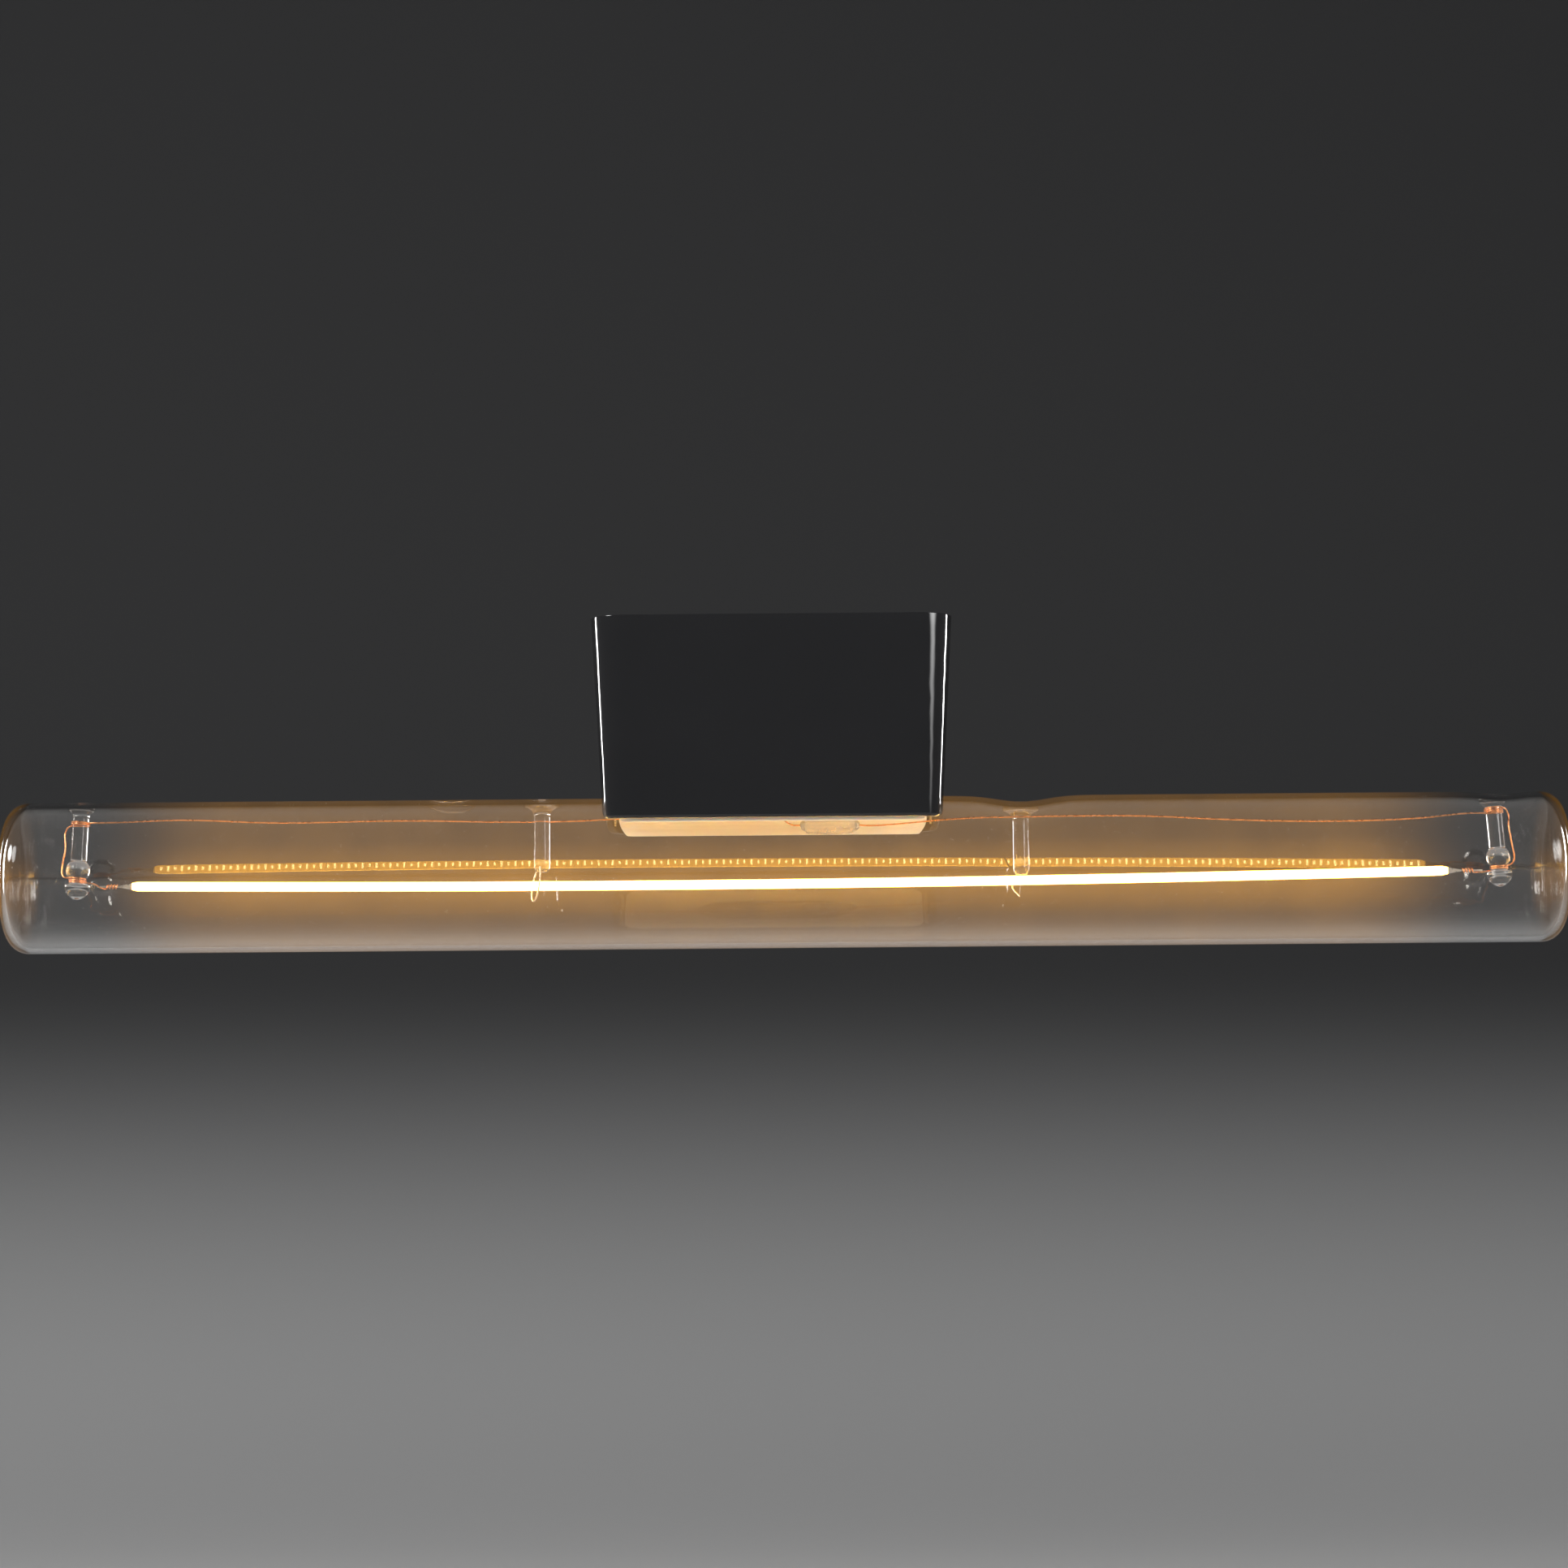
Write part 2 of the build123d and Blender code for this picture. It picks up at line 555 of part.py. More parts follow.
# Left lead: out of the seal, behind the middle post, round the end post and down to the pin
left_route = [
    from_tube(STEM_LEFT_END, STEM_Y, STEM_Z),
    from_tube(STEM_LEFT_END - 5 * LEAD_DIAMETER, STEM_Y, STEM_Z + LEAD_RADIUS),
    from_tube(STEM_LEFT_END - 15 * LEAD_DIAMETER, STEM_Y, STEM_Z + 7 * LEAD_DIAMETER),
]
left_route += sagging(STEM_LEFT_END, MID_POST_LEFT_X, PASS_POST, ((0.46, 0.851), (0.78, 0.778)))
left_route += sagging(
    MID_POST_LEFT_X,
    END_POST_LEFT_X,
    PASS_POST,
    ((0.089, 0.764), (0.294, 0.793), (0.583, 0.778), (0.78, 0.829)),
)
left_route += sagging(MID_POST_LEFT_X, END_POST_LEFT_X, TOP_WIND_RADIUS, ((0.921, 0.8),))
left_route += winding(left_section, 0.7964 * INNER_RADIUS, TOP_WIND_RADIUS, 60, TOP_TURNS, -1)
left_route += beside(
    left_section,
    ((0.684, -1.08, 1.3), (0.407, -1.04, -0.7), (0.189, -1.18, -1.0), (0.065, -1.18, -1.7)),
)
left_route += [beside_post(left_section, GROOVE_WIND_TOP, -1.02 * TIP_RADIUS, -3 * LEAD_DIAMETER)]
left_route += winding(left_section, GROOVE_WIND_TOP, GROOVE_WIND_RADIUS, 210, GROOVE_TURNS, -1)
left_route += [
    beside_post(left_section, GROOVE_WIND_END, 1.255 * TIP_RADIUS, -2 * LEAD_DIAMETER),
    from_tube(left_pin_x - 0.85 * PIN_LENGTH, -2.3 * LEAD_DIAMETER, FILAMENT_LEFT_Z - 1.3 * PIN_PASS),
    from_tube(left_pin_x - 0.45 * PIN_LENGTH, 0, FILAMENT_LEFT_Z - PIN_PASS),
    from_tube(left_pin_x - 0.075 * PIN_LENGTH, 0, FILAMENT_LEFT_Z - PIN_PASS),
]

# Right lead: out of the seal, in front of the middle post, round the end post and down to the pin
right_groove_top = GROOVE_WIND_TOP + END_POST_RIGHT_RAISE
right_groove_end = GROOVE_WIND_END + END_POST_RIGHT_RAISE
right_route = [
    from_tube(STEM_RIGHT_END, STEM_Y, STEM_Z),
    from_tube(STEM_RIGHT_END + 7 * LEAD_DIAMETER, STEM_Y, STEM_Z - LEAD_RADIUS),
]
right_route += sagging(STEM_RIGHT_END, MID_POST_RIGHT_X, -PASS_POST / 2, ((0.64, 0.7345),))
right_route += sagging(STEM_RIGHT_END, MID_POST_RIGHT_X, -PASS_POST, ((0.968, 0.749),))
right_route += sagging(
    MID_POST_RIGHT_X,
    END_POST_RIGHT_X,
    -PASS_POST,
    ((0.245, 0.742), (0.448, 0.676), (0.621, 0.647), (0.827, 0.676)),
)
right_route += sagging(MID_POST_RIGHT_X, END_POST_RIGHT_X, -TOP_WIND_RADIUS, ((0.936, 0.742),))
right_route += winding(right_section, 0.7564 * INNER_RADIUS, TOP_WIND_RADIUS, 240, TOP_TURNS, 1)
right_route += beside(
    right_section,
    ((0.771, 1.08, 2.0), (0.545, 1.02, 0.0), (0.262, 1.16, 0.0), (0.087, 1.22, 1.3)),
)
right_route += [beside_post(right_section, right_groove_top, 1.02 * TIP_RADIUS, 3 * LEAD_DIAMETER)]
right_route += winding(right_section, right_groove_top, GROOVE_WIND_RADIUS, 30, GROOVE_TURNS, -1)
right_route += [
    beside_post(right_section, right_groove_end, -1.255 * TIP_RADIUS, 2 * LEAD_DIAMETER),
    from_tube(right_pin_x + 0.8 * PIN_LENGTH, 2.3 * LEAD_DIAMETER, FILAMENT_RIGHT_Z - PIN_PASS),
    from_tube(right_pin_x + 0.45 * PIN_LENGTH, 0, FILAMENT_RIGHT_Z - PIN_PASS),
    from_tube(right_pin_x + 0.075 * PIN_LENGTH, 0, FILAMENT_RIGHT_Z - PIN_PASS),
]

for side, route in (("left", left_route), ("right", right_route)):
    with BuildPart() as lead_wire:
        with BuildLine() as lead_line:
            Polyline(*route)
        with BuildSketch(end_plane(route)):
            RegularPolygon(LEAD_RADIUS, LEAD_SIDES)
        sweep(path=lead_line.wire(), transition=Transition.RIGHT)
    lead_wire.part.label = f"lead_wire_{side}"
    export_step(lead_wire.part, f"parts/lead_wire_{side}.step")

# Glass seal where both leads come in: a bar with a bead at each end and a neck through the wall
NECK_TOP = TUBE_RADIUS + NECK_ABOVE_GLASS
with BuildPart() as lead_in_stem:
    with BuildSketch(Plane(origin=(STEM_LEFT_X, STEM_Y, AXIS_Z + STEM_Z), z_dir=(1, 0, 0))):
        RegularPolygon(STEM_DIAMETER / 2, SMALL_SIDES)
    extrude(amount=STEM_RIGHT_X - STEM_LEFT_X)
    for end_x, way in ((STEM_LEFT_X, -1), (STEM_RIGHT_X, 1)):
        with BuildSketch(Plane(origin=(end_x, STEM_Y, AXIS_Z + STEM_Z), z_dir=(way, 0, 0))):
            RegularPolygon(STEM_BEAD_DIAMETER / 2, SMALL_SIDES)
        extrude(amount=STEM_BEAD_LENGTH, taper=30)
    with BuildSketch(level(STEM_Z)):
        with Locations((NECK_X, STEM_Y)):
            RegularPolygon(NECK_DIAMETER / 2, SMALL_SIDES)
    extrude(amount=NECK_TOP - STEM_Z)
lead_in_stem.part.label = "lead_in_stem"
export_step(lead_in_stem.part, "parts/lead_in_stem.step")

with BuildPart() as lead_in_pins:
    with BuildSketch(level(NECK_TOP)):
        with Locations((NECK_X, STEM_Y)):
            with GridLocations(LEAD_PIN_SPACING, 0, 2, 1):
                RegularPolygon(LEAD_PIN_DIAMETER / 2, LEAD_SIDES)
    extrude(amount=BOARD_LEDGE_Z - NECK_TOP)
lead_in_pins.part.label = "lead_in_pins"
export_step(lead_in_pins.part, "parts/lead_in_pins.step")

# Cap body: a moulded saddle on the glass, hollow above its floor, with an oval window under the board
SADDLE_RADIUS = TUBE_RADIUS + CEMENT_GAP
SADDLE_AXIS_PLANE = Plane(origin=(-CAP_LENGTH, 0, AXIS_Z), z_dir=(1, 0, 0))
CAP_INNER_LENGTH = CAP_LENGTH - 2 * CAP_WALL
CAP_INNER_WIDTH = CAP_WIDTH - 2 * CAP_WALL
with BuildPart() as saddle_floor:
    with BuildSketch(level(CAP_LOWER_EDGE)):
        RectangleRounded(CAP_LENGTH, CAP_WIDTH, CAP_CORNER_RADIUS)
    extrude(amount=CAP_BODY_TOP - CAP_LOWER_EDGE)
    with BuildSketch(SADDLE_AXIS_PLANE):
        Circle(SADDLE_RADIUS + SADDLE_THICKNESS)
    extrude(amount=2 * CAP_LENGTH, mode=Mode.INTERSECT)

with BuildPart() as cap_body:
    with BuildSketch(level(CAP_LOWER_EDGE)):
        RectangleRounded(CAP_LENGTH, CAP_WIDTH, CAP_CORNER_RADIUS)
    extrude(amount=CAP_BODY_TOP - CAP_LOWER_EDGE)
    with BuildSketch(level(BOARD_LEDGE_Z)):
        Rectangle(CAP_INNER_LENGTH, CAP_INNER_WIDTH)
    extrude(amount=CAP_BODY_TOP - BOARD_LEDGE_Z, mode=Mode.SUBTRACT)
    with BuildSketch(level(CAP_LOWER_EDGE)):
        Rectangle(CAP_INNER_LENGTH - 2 * LEDGE_WIDTH_X, CAP_INNER_WIDTH - 2 * LEDGE_WIDTH_Y)
    extrude(amount=BOARD_LEDGE_Z - CAP_LOWER_EDGE, mode=Mode.SUBTRACT)
    add(saddle_floor.part)
    with BuildSketch(SADDLE_AXIS_PLANE):
        Circle(SADDLE_RADIUS)
    extrude(amount=2 * CAP_LENGTH, mode=Mode.SUBTRACT)
    with BuildSketch(level(CAP_LOWER_EDGE)):
        SlotOverall(WINDOW_LENGTH, WINDOW_WIDTH)
    extrude(amount=BOARD_LEDGE_Z - CAP_LOWER_EDGE, mode=Mode.SUBTRACT)
    with BuildSketch(level(BOARD_TOP)):
        Rectangle(2 * CAP_LENGTH, CONTACT_TAB_WIDTH + 2 * SEAT_GAP)
    extrude(amount=CONTACT_THICKNESS + SEAT_GAP, mode=Mode.SUBTRACT)
cap_body.part.label = "cap_body"
export_step(cap_body.part, "parts/cap_body.step")

with BuildPart() as cap_cover:
    with BuildSketch(level(CAP_BODY_TOP)):
        flat_cornered(CAP_LENGTH, CAP_WIDTH, CAP_CORNER_RADIUS)
    extrude(amount=COVER_THICKNESS)
    with BuildSketch(level(CAP_BODY_TOP)):
        Rectangle(CAP_INNER_LENGTH - 2 * SEAT_GAP, CAP_INNER_WIDTH - 2 * SEAT_GAP)
        Rectangle(
            CAP_INNER_LENGTH - 2 * (SEAT_GAP + COVER_LIP_WIDTH),
            CAP_INNER_WIDTH - 2 * (SEAT_GAP + COVER_LIP_WIDTH),
            mode=Mode.SUBTRACT,
        )
    extrude(amount=-COVER_LIP_DEPTH)
cap_cover.part.label = "cap_cover"
export_step(cap_cover.part, "parts/cap_cover.step")

# Contact plates on the cap's ends, each with a tab that reaches in to the driver board
for side, way in SIDES:
    with BuildPart() as cap_contact:
        with BuildSketch(level(CONTACT_BOTTOM)):
            with Locations((way * (CAP_LENGTH + CONTACT_THICKNESS) / 2, 0)):
                Rectangle(CONTACT_THICKNESS, CONTACT_WIDTH)
        extrude(amount=CONTACT_TOP - CONTACT_BOTTOM)
        tab_start = BOARD_LENGTH / 2 - CONTACT_TAB_ON_BOARD
        tab_length = CAP_LENGTH / 2 - tab_start
        with BuildSketch(level(BOARD_TOP)):
            with Locations((way * (tab_start + tab_length / 2), 0)):
                Rectangle(tab_length, CONTACT_TAB_WIDTH)
        extrude(amount=CONTACT_THICKNESS)
    cap_contact.part.label = f"cap_contact_{side}"
    export_step(cap_contact.part, f"parts/cap_contact_{side}.step")

# Driver board on its ledge, and the parts on it
with BuildPart() as driver_board:
    with BuildSketch(level(BOARD_LEDGE_Z)):
        Rectangle(BOARD_LENGTH, BOARD_WIDTH)
    extrude(amount=BOARD_THICKNESS)
driver_board.part.label = "driver_board"
export_step(driver_board.part, "parts/driver_board.step")

with BuildPart() as bridge_rectifier:
    with BuildSketch(level(BOARD_TOP)):
        with Locations((RECTIFIER_X, 0)):
            Rectangle(RECTIFIER_LENGTH, RECTIFIER_WIDTH)
    extrude(amount=RECTIFIER_HEIGHT, taper=5)
    with BuildSketch(level(BOARD_TOP)):
        with Locations((RECTIFIER_X, 0)):
            with GridLocations(RECTIFIER_LENGTH / 2, RECTIFIER_WIDTH + RECTIFIER_LEG, 2, 2):
                Rectangle(RECTIFIER_LEG / 2, RECTIFIER_LEG)
    extrude(amount=RECTIFIER_LEG / 4)
bridge_rectifier.part.label = "bridge_rectifier"
export_step(bridge_rectifier.part, "parts/bridge_rectifier.step")

with BuildPart() as smoothing_capacitor:
    can_z = AXIS_Z + BOARD_TOP + CAPACITOR_DIAMETER / 2
    with BuildSketch(Plane(origin=(CAPACITOR_X - CAPACITOR_LENGTH / 2, 0, can_z), z_dir=(1, 0, 0))):
        RegularPolygon(CAPACITOR_DIAMETER / 2, SMALL_SIDES)
    extrude(amount=CAPACITOR_LENGTH)
smoothing_capacitor.part.label = "smoothing_capacitor"
export_step(smoothing_capacitor.part, "parts/smoothing_capacitor.step")

with BuildPart() as choke:
    with BuildSketch(level(BOARD_TOP)):
        with Locations((CHOKE_X, 0)):
            RegularPolygon(CHOKE_DIAMETER / 2, SMALL_SIDES)
    extrude(amount=CHOKE_HEIGHT)
choke.part.label = "choke"
export_step(choke.part, "parts/choke.step")

with BuildPart() as fuse_resistor:
    fuse_z = AXIS_Z + BOARD_TOP + FUSE_DIAMETER / 2
    with BuildSketch(Plane(origin=(FUSE_X - FUSE_LENGTH / 2, 0, fuse_z), z_dir=(1, 0, 0))):
        RegularPolygon(FUSE_DIAMETER / 2, SMALL_SIDES)
    extrude(amount=FUSE_LENGTH)
    with BuildSketch(level(BOARD_TOP)):
        with Locations((FUSE_X, 0)):
            Rectangle(FUSE_LENGTH + 2 * FUSE_LEAD_REACH, FUSE_LEAD_DIAMETER)
    extrude(amount=FUSE_LEAD_DIAMETER)
fuse_resistor.part.label = "fuse_resistor"
export_step(fuse_resistor.part, "parts/fuse_resistor.step")

# Holder housing: a drafted shell, open to the ceiling and to the lamp, with a partition across it
RIM_PLANE = Plane.XY.offset(-HOLDER_HEIGHT)
HOLDER_AXIS_PLANE = Plane(origin=(-RIM_LENGTH, 0, AXIS_Z), z_dir=(1, 0, 0))


def inner_flat_at(depth):
    """Leg of the flat across the housing's inner corners at a depth below the ceiling face."""
    return HOLDER_INNER_FLAT + (2 - math.sqrt(2)) * (HOLDER_HEIGHT - depth) * DRAFT_SLOPE


with BuildPart() as holder_housing:
    with BuildSketch(RIM_PLANE):
        RectangleRounded(RIM_LENGTH, RIM_WIDTH, HOLDER_CORNER_RADIUS)
    extrude(amount=HOLDER_HEIGHT, taper=-HOLDER_DRAFT)
    chamfer(holder_housing.faces().sort_by(Axis.Z)[0].edges(), RIM_CHAMFER)
    with BuildSketch(RIM_PLANE):
        flat_cornered(RIM_LENGTH - 2 * HOLDER_WALL, RIM_WIDTH - 2 * HOLDER_WALL, HOLDER_INNER_FLAT)
    extrude(amount=HOLDER_HEIGHT, taper=-HOLDER_DRAFT, mode=Mode.SUBTRACT)
    with BuildSketch(Plane.XY.offset(-PARTITION_BOTTOM)):
        flat_cornered(
            inner_length_at(PARTITION_BOTTOM) + HOLDER_WALL,
            inner_width_at(PARTITION_BOTTOM) + HOLDER_WALL,
            inner_flat_at(PARTITION_BOTTOM) + HOLDER_WALL / 2,
        )
        with GridLocations(inner_length_at(PARTITION_DEPTH) - SPRING_SLOT_LENGTH, 0, 2, 1):
            Rectangle(SPRING_SLOT_LENGTH, SPRING_SLOT_WIDTH, mode=Mode.SUBTRACT)
        with GridLocations(BOSS_SPACING, 0, 2, 1):
            RegularPolygon(SCREW_DIAMETER / 2 + SCREW_GAP, SMALL_SIDES, mode=Mode.SUBTRACT)
    extrude(amount=PARTITION_THICKNESS)
    with BuildSketch(HOLDER_AXIS_PLANE):
        Circle(TUBE_RADIUS + HOLDER_GAP)
    extrude(amount=2 * RIM_LENGTH, mode=Mode.SUBTRACT)
holder_housing.part.label = "holder_housing"
export_step(holder_housing.part, "parts/holder_housing.step")

# Holder base: an insulating ceiling plate with fixing holes, the cable entry and two screw bosses
BASE_LENGTH = inner_length_at(BASE_THICKNESS) - 2 * HOLDER_GAP
BASE_WIDTH = inner_width_at(BASE_THICKNESS) - 2 * HOLDER_GAP
with BuildPart() as holder_base:
    with BuildSketch(Plane.XY):
        flat_cornered(BASE_LENGTH, BASE_WIDTH, inner_flat_at(BASE_THICKNESS) + HOLDER_GAP)
        Circle(CABLE_HOLE_DIAMETER / 2, mode=Mode.SUBTRACT)
        with GridLocations(FIXING_SPACING, 0, 2, 1):
            Circle(FIXING_HOLE_DIAMETER / 2, mode=Mode.SUBTRACT)
    extrude(amount=-BASE_THICKNESS)
    with BuildSketch(Plane.XY.offset(-BASE_THICKNESS)):
        with GridLocations(BOSS_SPACING, 0, 2, 1):
            RegularPolygon(BOSS_DIAMETER / 2, SMALL_SIDES)
    extrude(amount=-(PARTITION_DEPTH - BASE_THICKNESS))
    with BuildSketch(Plane.XY.offset(-PARTITION_DEPTH)):
        with GridLocations(BOSS_SPACING, 0, 2, 1):
            RegularPolygon(SCREW_DIAMETER / 2 + WIRE_GAP, SMALL_SIDES)
    extrude(amount=SCREW_LENGTH, mode=Mode.SUBTRACT)
holder_base.part.label = "holder_base"
export_step(holder_base.part, "parts/holder_base.step")

with BuildPart() as housing_screws:
    with BuildSketch(Plane.XY.offset(-PARTITION_BOTTOM)):
        with GridLocations(BOSS_SPACING, 0, 2, 1):
            RegularPolygon(SCREW_HEAD_DIAMETER / 2, SMALL_SIDES)
    extrude(amount=-SCREW_HEAD_HEIGHT)
    with BuildSketch(Plane.XY.offset(-PARTITION_BOTTOM)):
        with GridLocations(BOSS_SPACING, 0, 2, 1):
            RegularPolygon(SCREW_DIAMETER / 2, SMALL_SIDES)
    extrude(amount=SCREW_LENGTH)
    with BuildSketch(Plane.XY.offset(-PARTITION_BOTTOM - SCREW_HEAD_HEIGHT)):
        with GridLocations(BOSS_SPACING, 0, 2, 1):
            Rectangle(SCREW_SLOT_WIDTH, 2 * SCREW_HEAD_DIAMETER)
    extrude(amount=SCREW_SLOT_DEPTH, mode=Mode.SUBTRACT)
housing_screws.part.label = "housing_screws"
export_step(housing_screws.part, "parts/housing_screws.step")

# Contact springs, each from its terminal down the end wall to the contact plate and clear again
SPRING_SEAT_X = inner_length_at(PARTITION_DEPTH) / 2 - SPRING_SLOT_LENGTH + SPRING_THICKNESS
SPRING_PRESS_X = CONTACT_FACE_X + SPRING_GAP + SPRING_THICKNESS / 2
SPRING_PRESS_Z = AXIS_Z + (CONTACT_BOTTOM + CONTACT_TOP) / 2
SPRING_BOW_X = inner_length_at(PARTITION_BOTTOM + 3) / 2 - 2 * SPRING_THICKNESS
SPRING_END_X = inner_length_at(HOLDER_HEIGHT) / 2 - SPRING_THICKNESS
TERMINAL_X = SPRING_SEAT_X - SPRING_THICKNESS / 2 - TERMINAL_LENGTH / 2
SPRING_LINE = (
    (SPRING_SEAT_X, -BASE_THICKNESS - SPRING_THICKNESS),
    (SPRING_SEAT_X, -BASE_THICKNESS - TERMINAL_HEIGHT),
    (SPRING_BOW_X, -PARTITION_BOTTOM - 3),
    (SPRING_PRESS_X, SPRING_PRESS_Z),
    (SPRING_END_X, -HOLDER_HEIGHT + SPRING_THICKNESS),
)
SPRING_NECK_END = -PARTITION_BOTTOM - SPRING_NECK
for side, way in SIDES:
    with BuildPart() as contact_spring:
        with BuildSketch(Plane.XZ):
            with BuildLine():
                Polyline(*[(way * x, z) for x, z in SPRING_LINE])
            trace(line_width=SPRING_THICKNESS)
        extrude(amount=SPRING_FOOT_WIDTH / 2, both=True)
        with BuildSketch(Plane.XY.offset(SPRING_NECK_END)):
            with GridLocations(0, SPRING_WIDTH + SPRING_FOOT_WIDTH, 1, 2):
                Rectangle(2 * RIM_LENGTH, SPRING_FOOT_WIDTH)
        extrude(amount=HOLDER_HEIGHT, mode=Mode.SUBTRACT)
        with BuildSketch(HOLDER_AXIS_PLANE):
            Circle(TUBE_RADIUS + HOLDER_GAP)
        extrude(amount=2 * RIM_LENGTH, mode=Mode.SUBTRACT)
    contact_spring.part.label = f"contact_spring_{side}"
    export_step(contact_spring.part, f"parts/contact_spring_{side}.step")

    with BuildPart() as terminal:
        with BuildSketch(Plane.XY.offset(-BASE_THICKNESS)):
            with Locations((way * TERMINAL_X, 0)):
                Rectangle(TERMINAL_LENGTH, TERMINAL_WIDTH)
        extrude(amount=-TERMINAL_HEIGHT)
        wire_face = Plane(
            origin=(
                way * (TERMINAL_X - TERMINAL_LENGTH / 2),
                0,
                -BASE_THICKNESS - TERMINAL_HEIGHT / 2,
            ),
            z_dir=(way, 0, 0),
        )
        with BuildSketch(wire_face):
            Rectangle(TERMINAL_WIRE_SLOT, TERMINAL_WIRE_SLOT)
        extrude(amount=TERMINAL_WIRE_SLOT_DEPTH, mode=Mode.SUBTRACT)
        with BuildSketch(Plane.XY.offset(-BASE_THICKNESS - TERMINAL_HEIGHT)):
            with Locations((way * TERMINAL_X, 0)):
                RegularPolygon(SCREW_DIAMETER / 2 + WIRE_GAP, SMALL_SIDES)
        extrude(amount=TERMINAL_HEIGHT / 2, mode=Mode.SUBTRACT)
    terminal.part.label = f"terminal_{side}"
    export_step(terminal.part, f"parts/terminal_{side}.step")

with BuildPart() as terminal_screws:
    with BuildSketch(Plane.XY.offset(-BASE_THICKNESS - TERMINAL_HEIGHT)):
        with GridLocations(2 * TERMINAL_X, 0, 2, 1):
            RegularPolygon(SCREW_DIAMETER / 2, SMALL_SIDES)
    extrude(amount=TERMINAL_SCREW_LENGTH)
    with BuildSketch(Plane.XY.offset(-BASE_THICKNESS - TERMINAL_HEIGHT)):
        with GridLocations(2 * TERMINAL_X, 0, 2, 1):
            Rectangle(SCREW_SLOT_WIDTH, 2 * SCREW_DIAMETER)
    extrude(amount=SCREW_SLOT_DEPTH, mode=Mode.SUBTRACT)
terminal_screws.part.label = "terminal_screws"
export_step(terminal_screws.part, "parts/terminal_screws.step")
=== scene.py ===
import math

import bpy
from mathutils import Matrix, Vector


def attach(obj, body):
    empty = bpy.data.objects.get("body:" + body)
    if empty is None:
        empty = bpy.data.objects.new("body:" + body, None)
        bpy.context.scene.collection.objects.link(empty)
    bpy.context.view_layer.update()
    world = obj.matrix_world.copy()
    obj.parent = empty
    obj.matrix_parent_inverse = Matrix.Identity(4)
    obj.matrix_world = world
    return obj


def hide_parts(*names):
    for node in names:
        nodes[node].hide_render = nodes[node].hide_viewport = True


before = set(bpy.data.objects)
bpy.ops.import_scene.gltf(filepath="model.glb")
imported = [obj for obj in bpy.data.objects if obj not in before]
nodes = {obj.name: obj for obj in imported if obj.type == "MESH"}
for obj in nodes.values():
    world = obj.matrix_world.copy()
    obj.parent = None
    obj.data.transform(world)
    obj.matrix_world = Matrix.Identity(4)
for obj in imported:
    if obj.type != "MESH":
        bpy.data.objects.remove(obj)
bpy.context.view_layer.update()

MM = 0.001

# Sizes in millimetres, from the middle of the glass tube unless said otherwise
OFF_CENTRE = 2.2
AXIS_Z = -47.9
HALF_LENGTH = 150.0
RADIUS = 14.46
INNER = 13.5
END_POSTS = {"left": (-135.5, 2.7, 0.0), "right": (136.9, -4.0, 0.3)}
MID_POSTS = {"left": (-46.5, 0.44), "right": (45.35, -0.8)}
DENTS = ((45.35, 1.35, 4.4, 5.0), (136.9, 0.6, 3.4, 4.5))
FILAMENT = ((-125.1, -1.66), (1.0, -2.15), (127.1, -0.63))
STEM_Y, STEM_Z = 1.6, 9.3


def at(x, y, z):
    """A place given from the tube's middle, in the part's frame."""
    return Vector(((x + OFF_CENTRE) * MM, y * MM, (z + AXIS_Z) * MM))


# Materials

NOISE_LOW, NOISE_HIGH = 0.3, 0.7  # where most of a noise texture's values lie
RELIEF_DEPTH = 0.0001
FILAMENT_AMBER = (1.0, 0.44, 0.03)
# Shares of the painted glow on the glass, from the middle of the filament out: along the tube, and
# up or down
GLOW_ALONG = ((0.7, 1.0), (0.89, 0.0), (0.965, 0.0), (0.985, 0.55))
GLOW_UP = ((0.0, 1.0), (0.25, 0.7), (0.55, 0.36), (1.0, 0.32))


def fill(tree, target, inputs):
    """Set a node's inputs, by name or number, or link those that get another node's output."""
    for key, value in inputs.items():
        if isinstance(value, bpy.types.NodeSocket):
            tree.links.new(value, target.inputs[key])
        else:
            target.inputs[key].default_value = value


def add(tree, kind, inputs, **properties):
    """A new shader node with its properties and inputs filled in."""
    made = tree.nodes.new("ShaderNode" + kind)
    for key, value in properties.items():
        setattr(made, key, value)
    fill(tree, made, inputs)
    return made


def ranged(tree, value, low, high, to_low, to_high, easing="LINEAR"):
    """The value's range from low to high, stretched to another range and kept inside it."""
    bounds = {"From Min": low, "From Max": high, "To Min": to_low, "To Max": to_high}
    inputs = {"Value": value, **bounds}
    return add(tree, "MapRange", inputs, interpolation_type=easing).outputs["Result"]


def worked_out(tree, operation, first, second, clamp=False):
    """The result of arithmetic with two values."""
    made = add(tree, "Math", {0: first, 1: second}, operation=operation, use_clamp=clamp)
    return made.outputs["Value"]


def ramp(tree, value, stops):
    """A level read off an eased curve through stops, each a value and a level."""
    made = add(tree, "ValToRGB", {"Fac": value})
    curve = made.color_ramp
    curve.interpolation = "EASE"
    while len(curve.elements) < len(stops):
        curve.elements.new(0.5)
    for element, (position, level) in zip(curve.elements, stops):
        element.position = position
        element.color = (level, level, level, 1)
    return made.outputs["Color"]


def new_material(name):
    """A named material, its node tree and its shader."""
    mat = bpy.data.materials.new(name)
    mat.use_nodes = True
    return mat, mat.node_tree, mat.node_tree.nodes["Principled BSDF"]


def set_on(mat, inputs):
    """Set inputs of a material's own shader."""
    fill(mat.node_tree, mat.node_tree.nodes["Principled BSDF"], inputs)


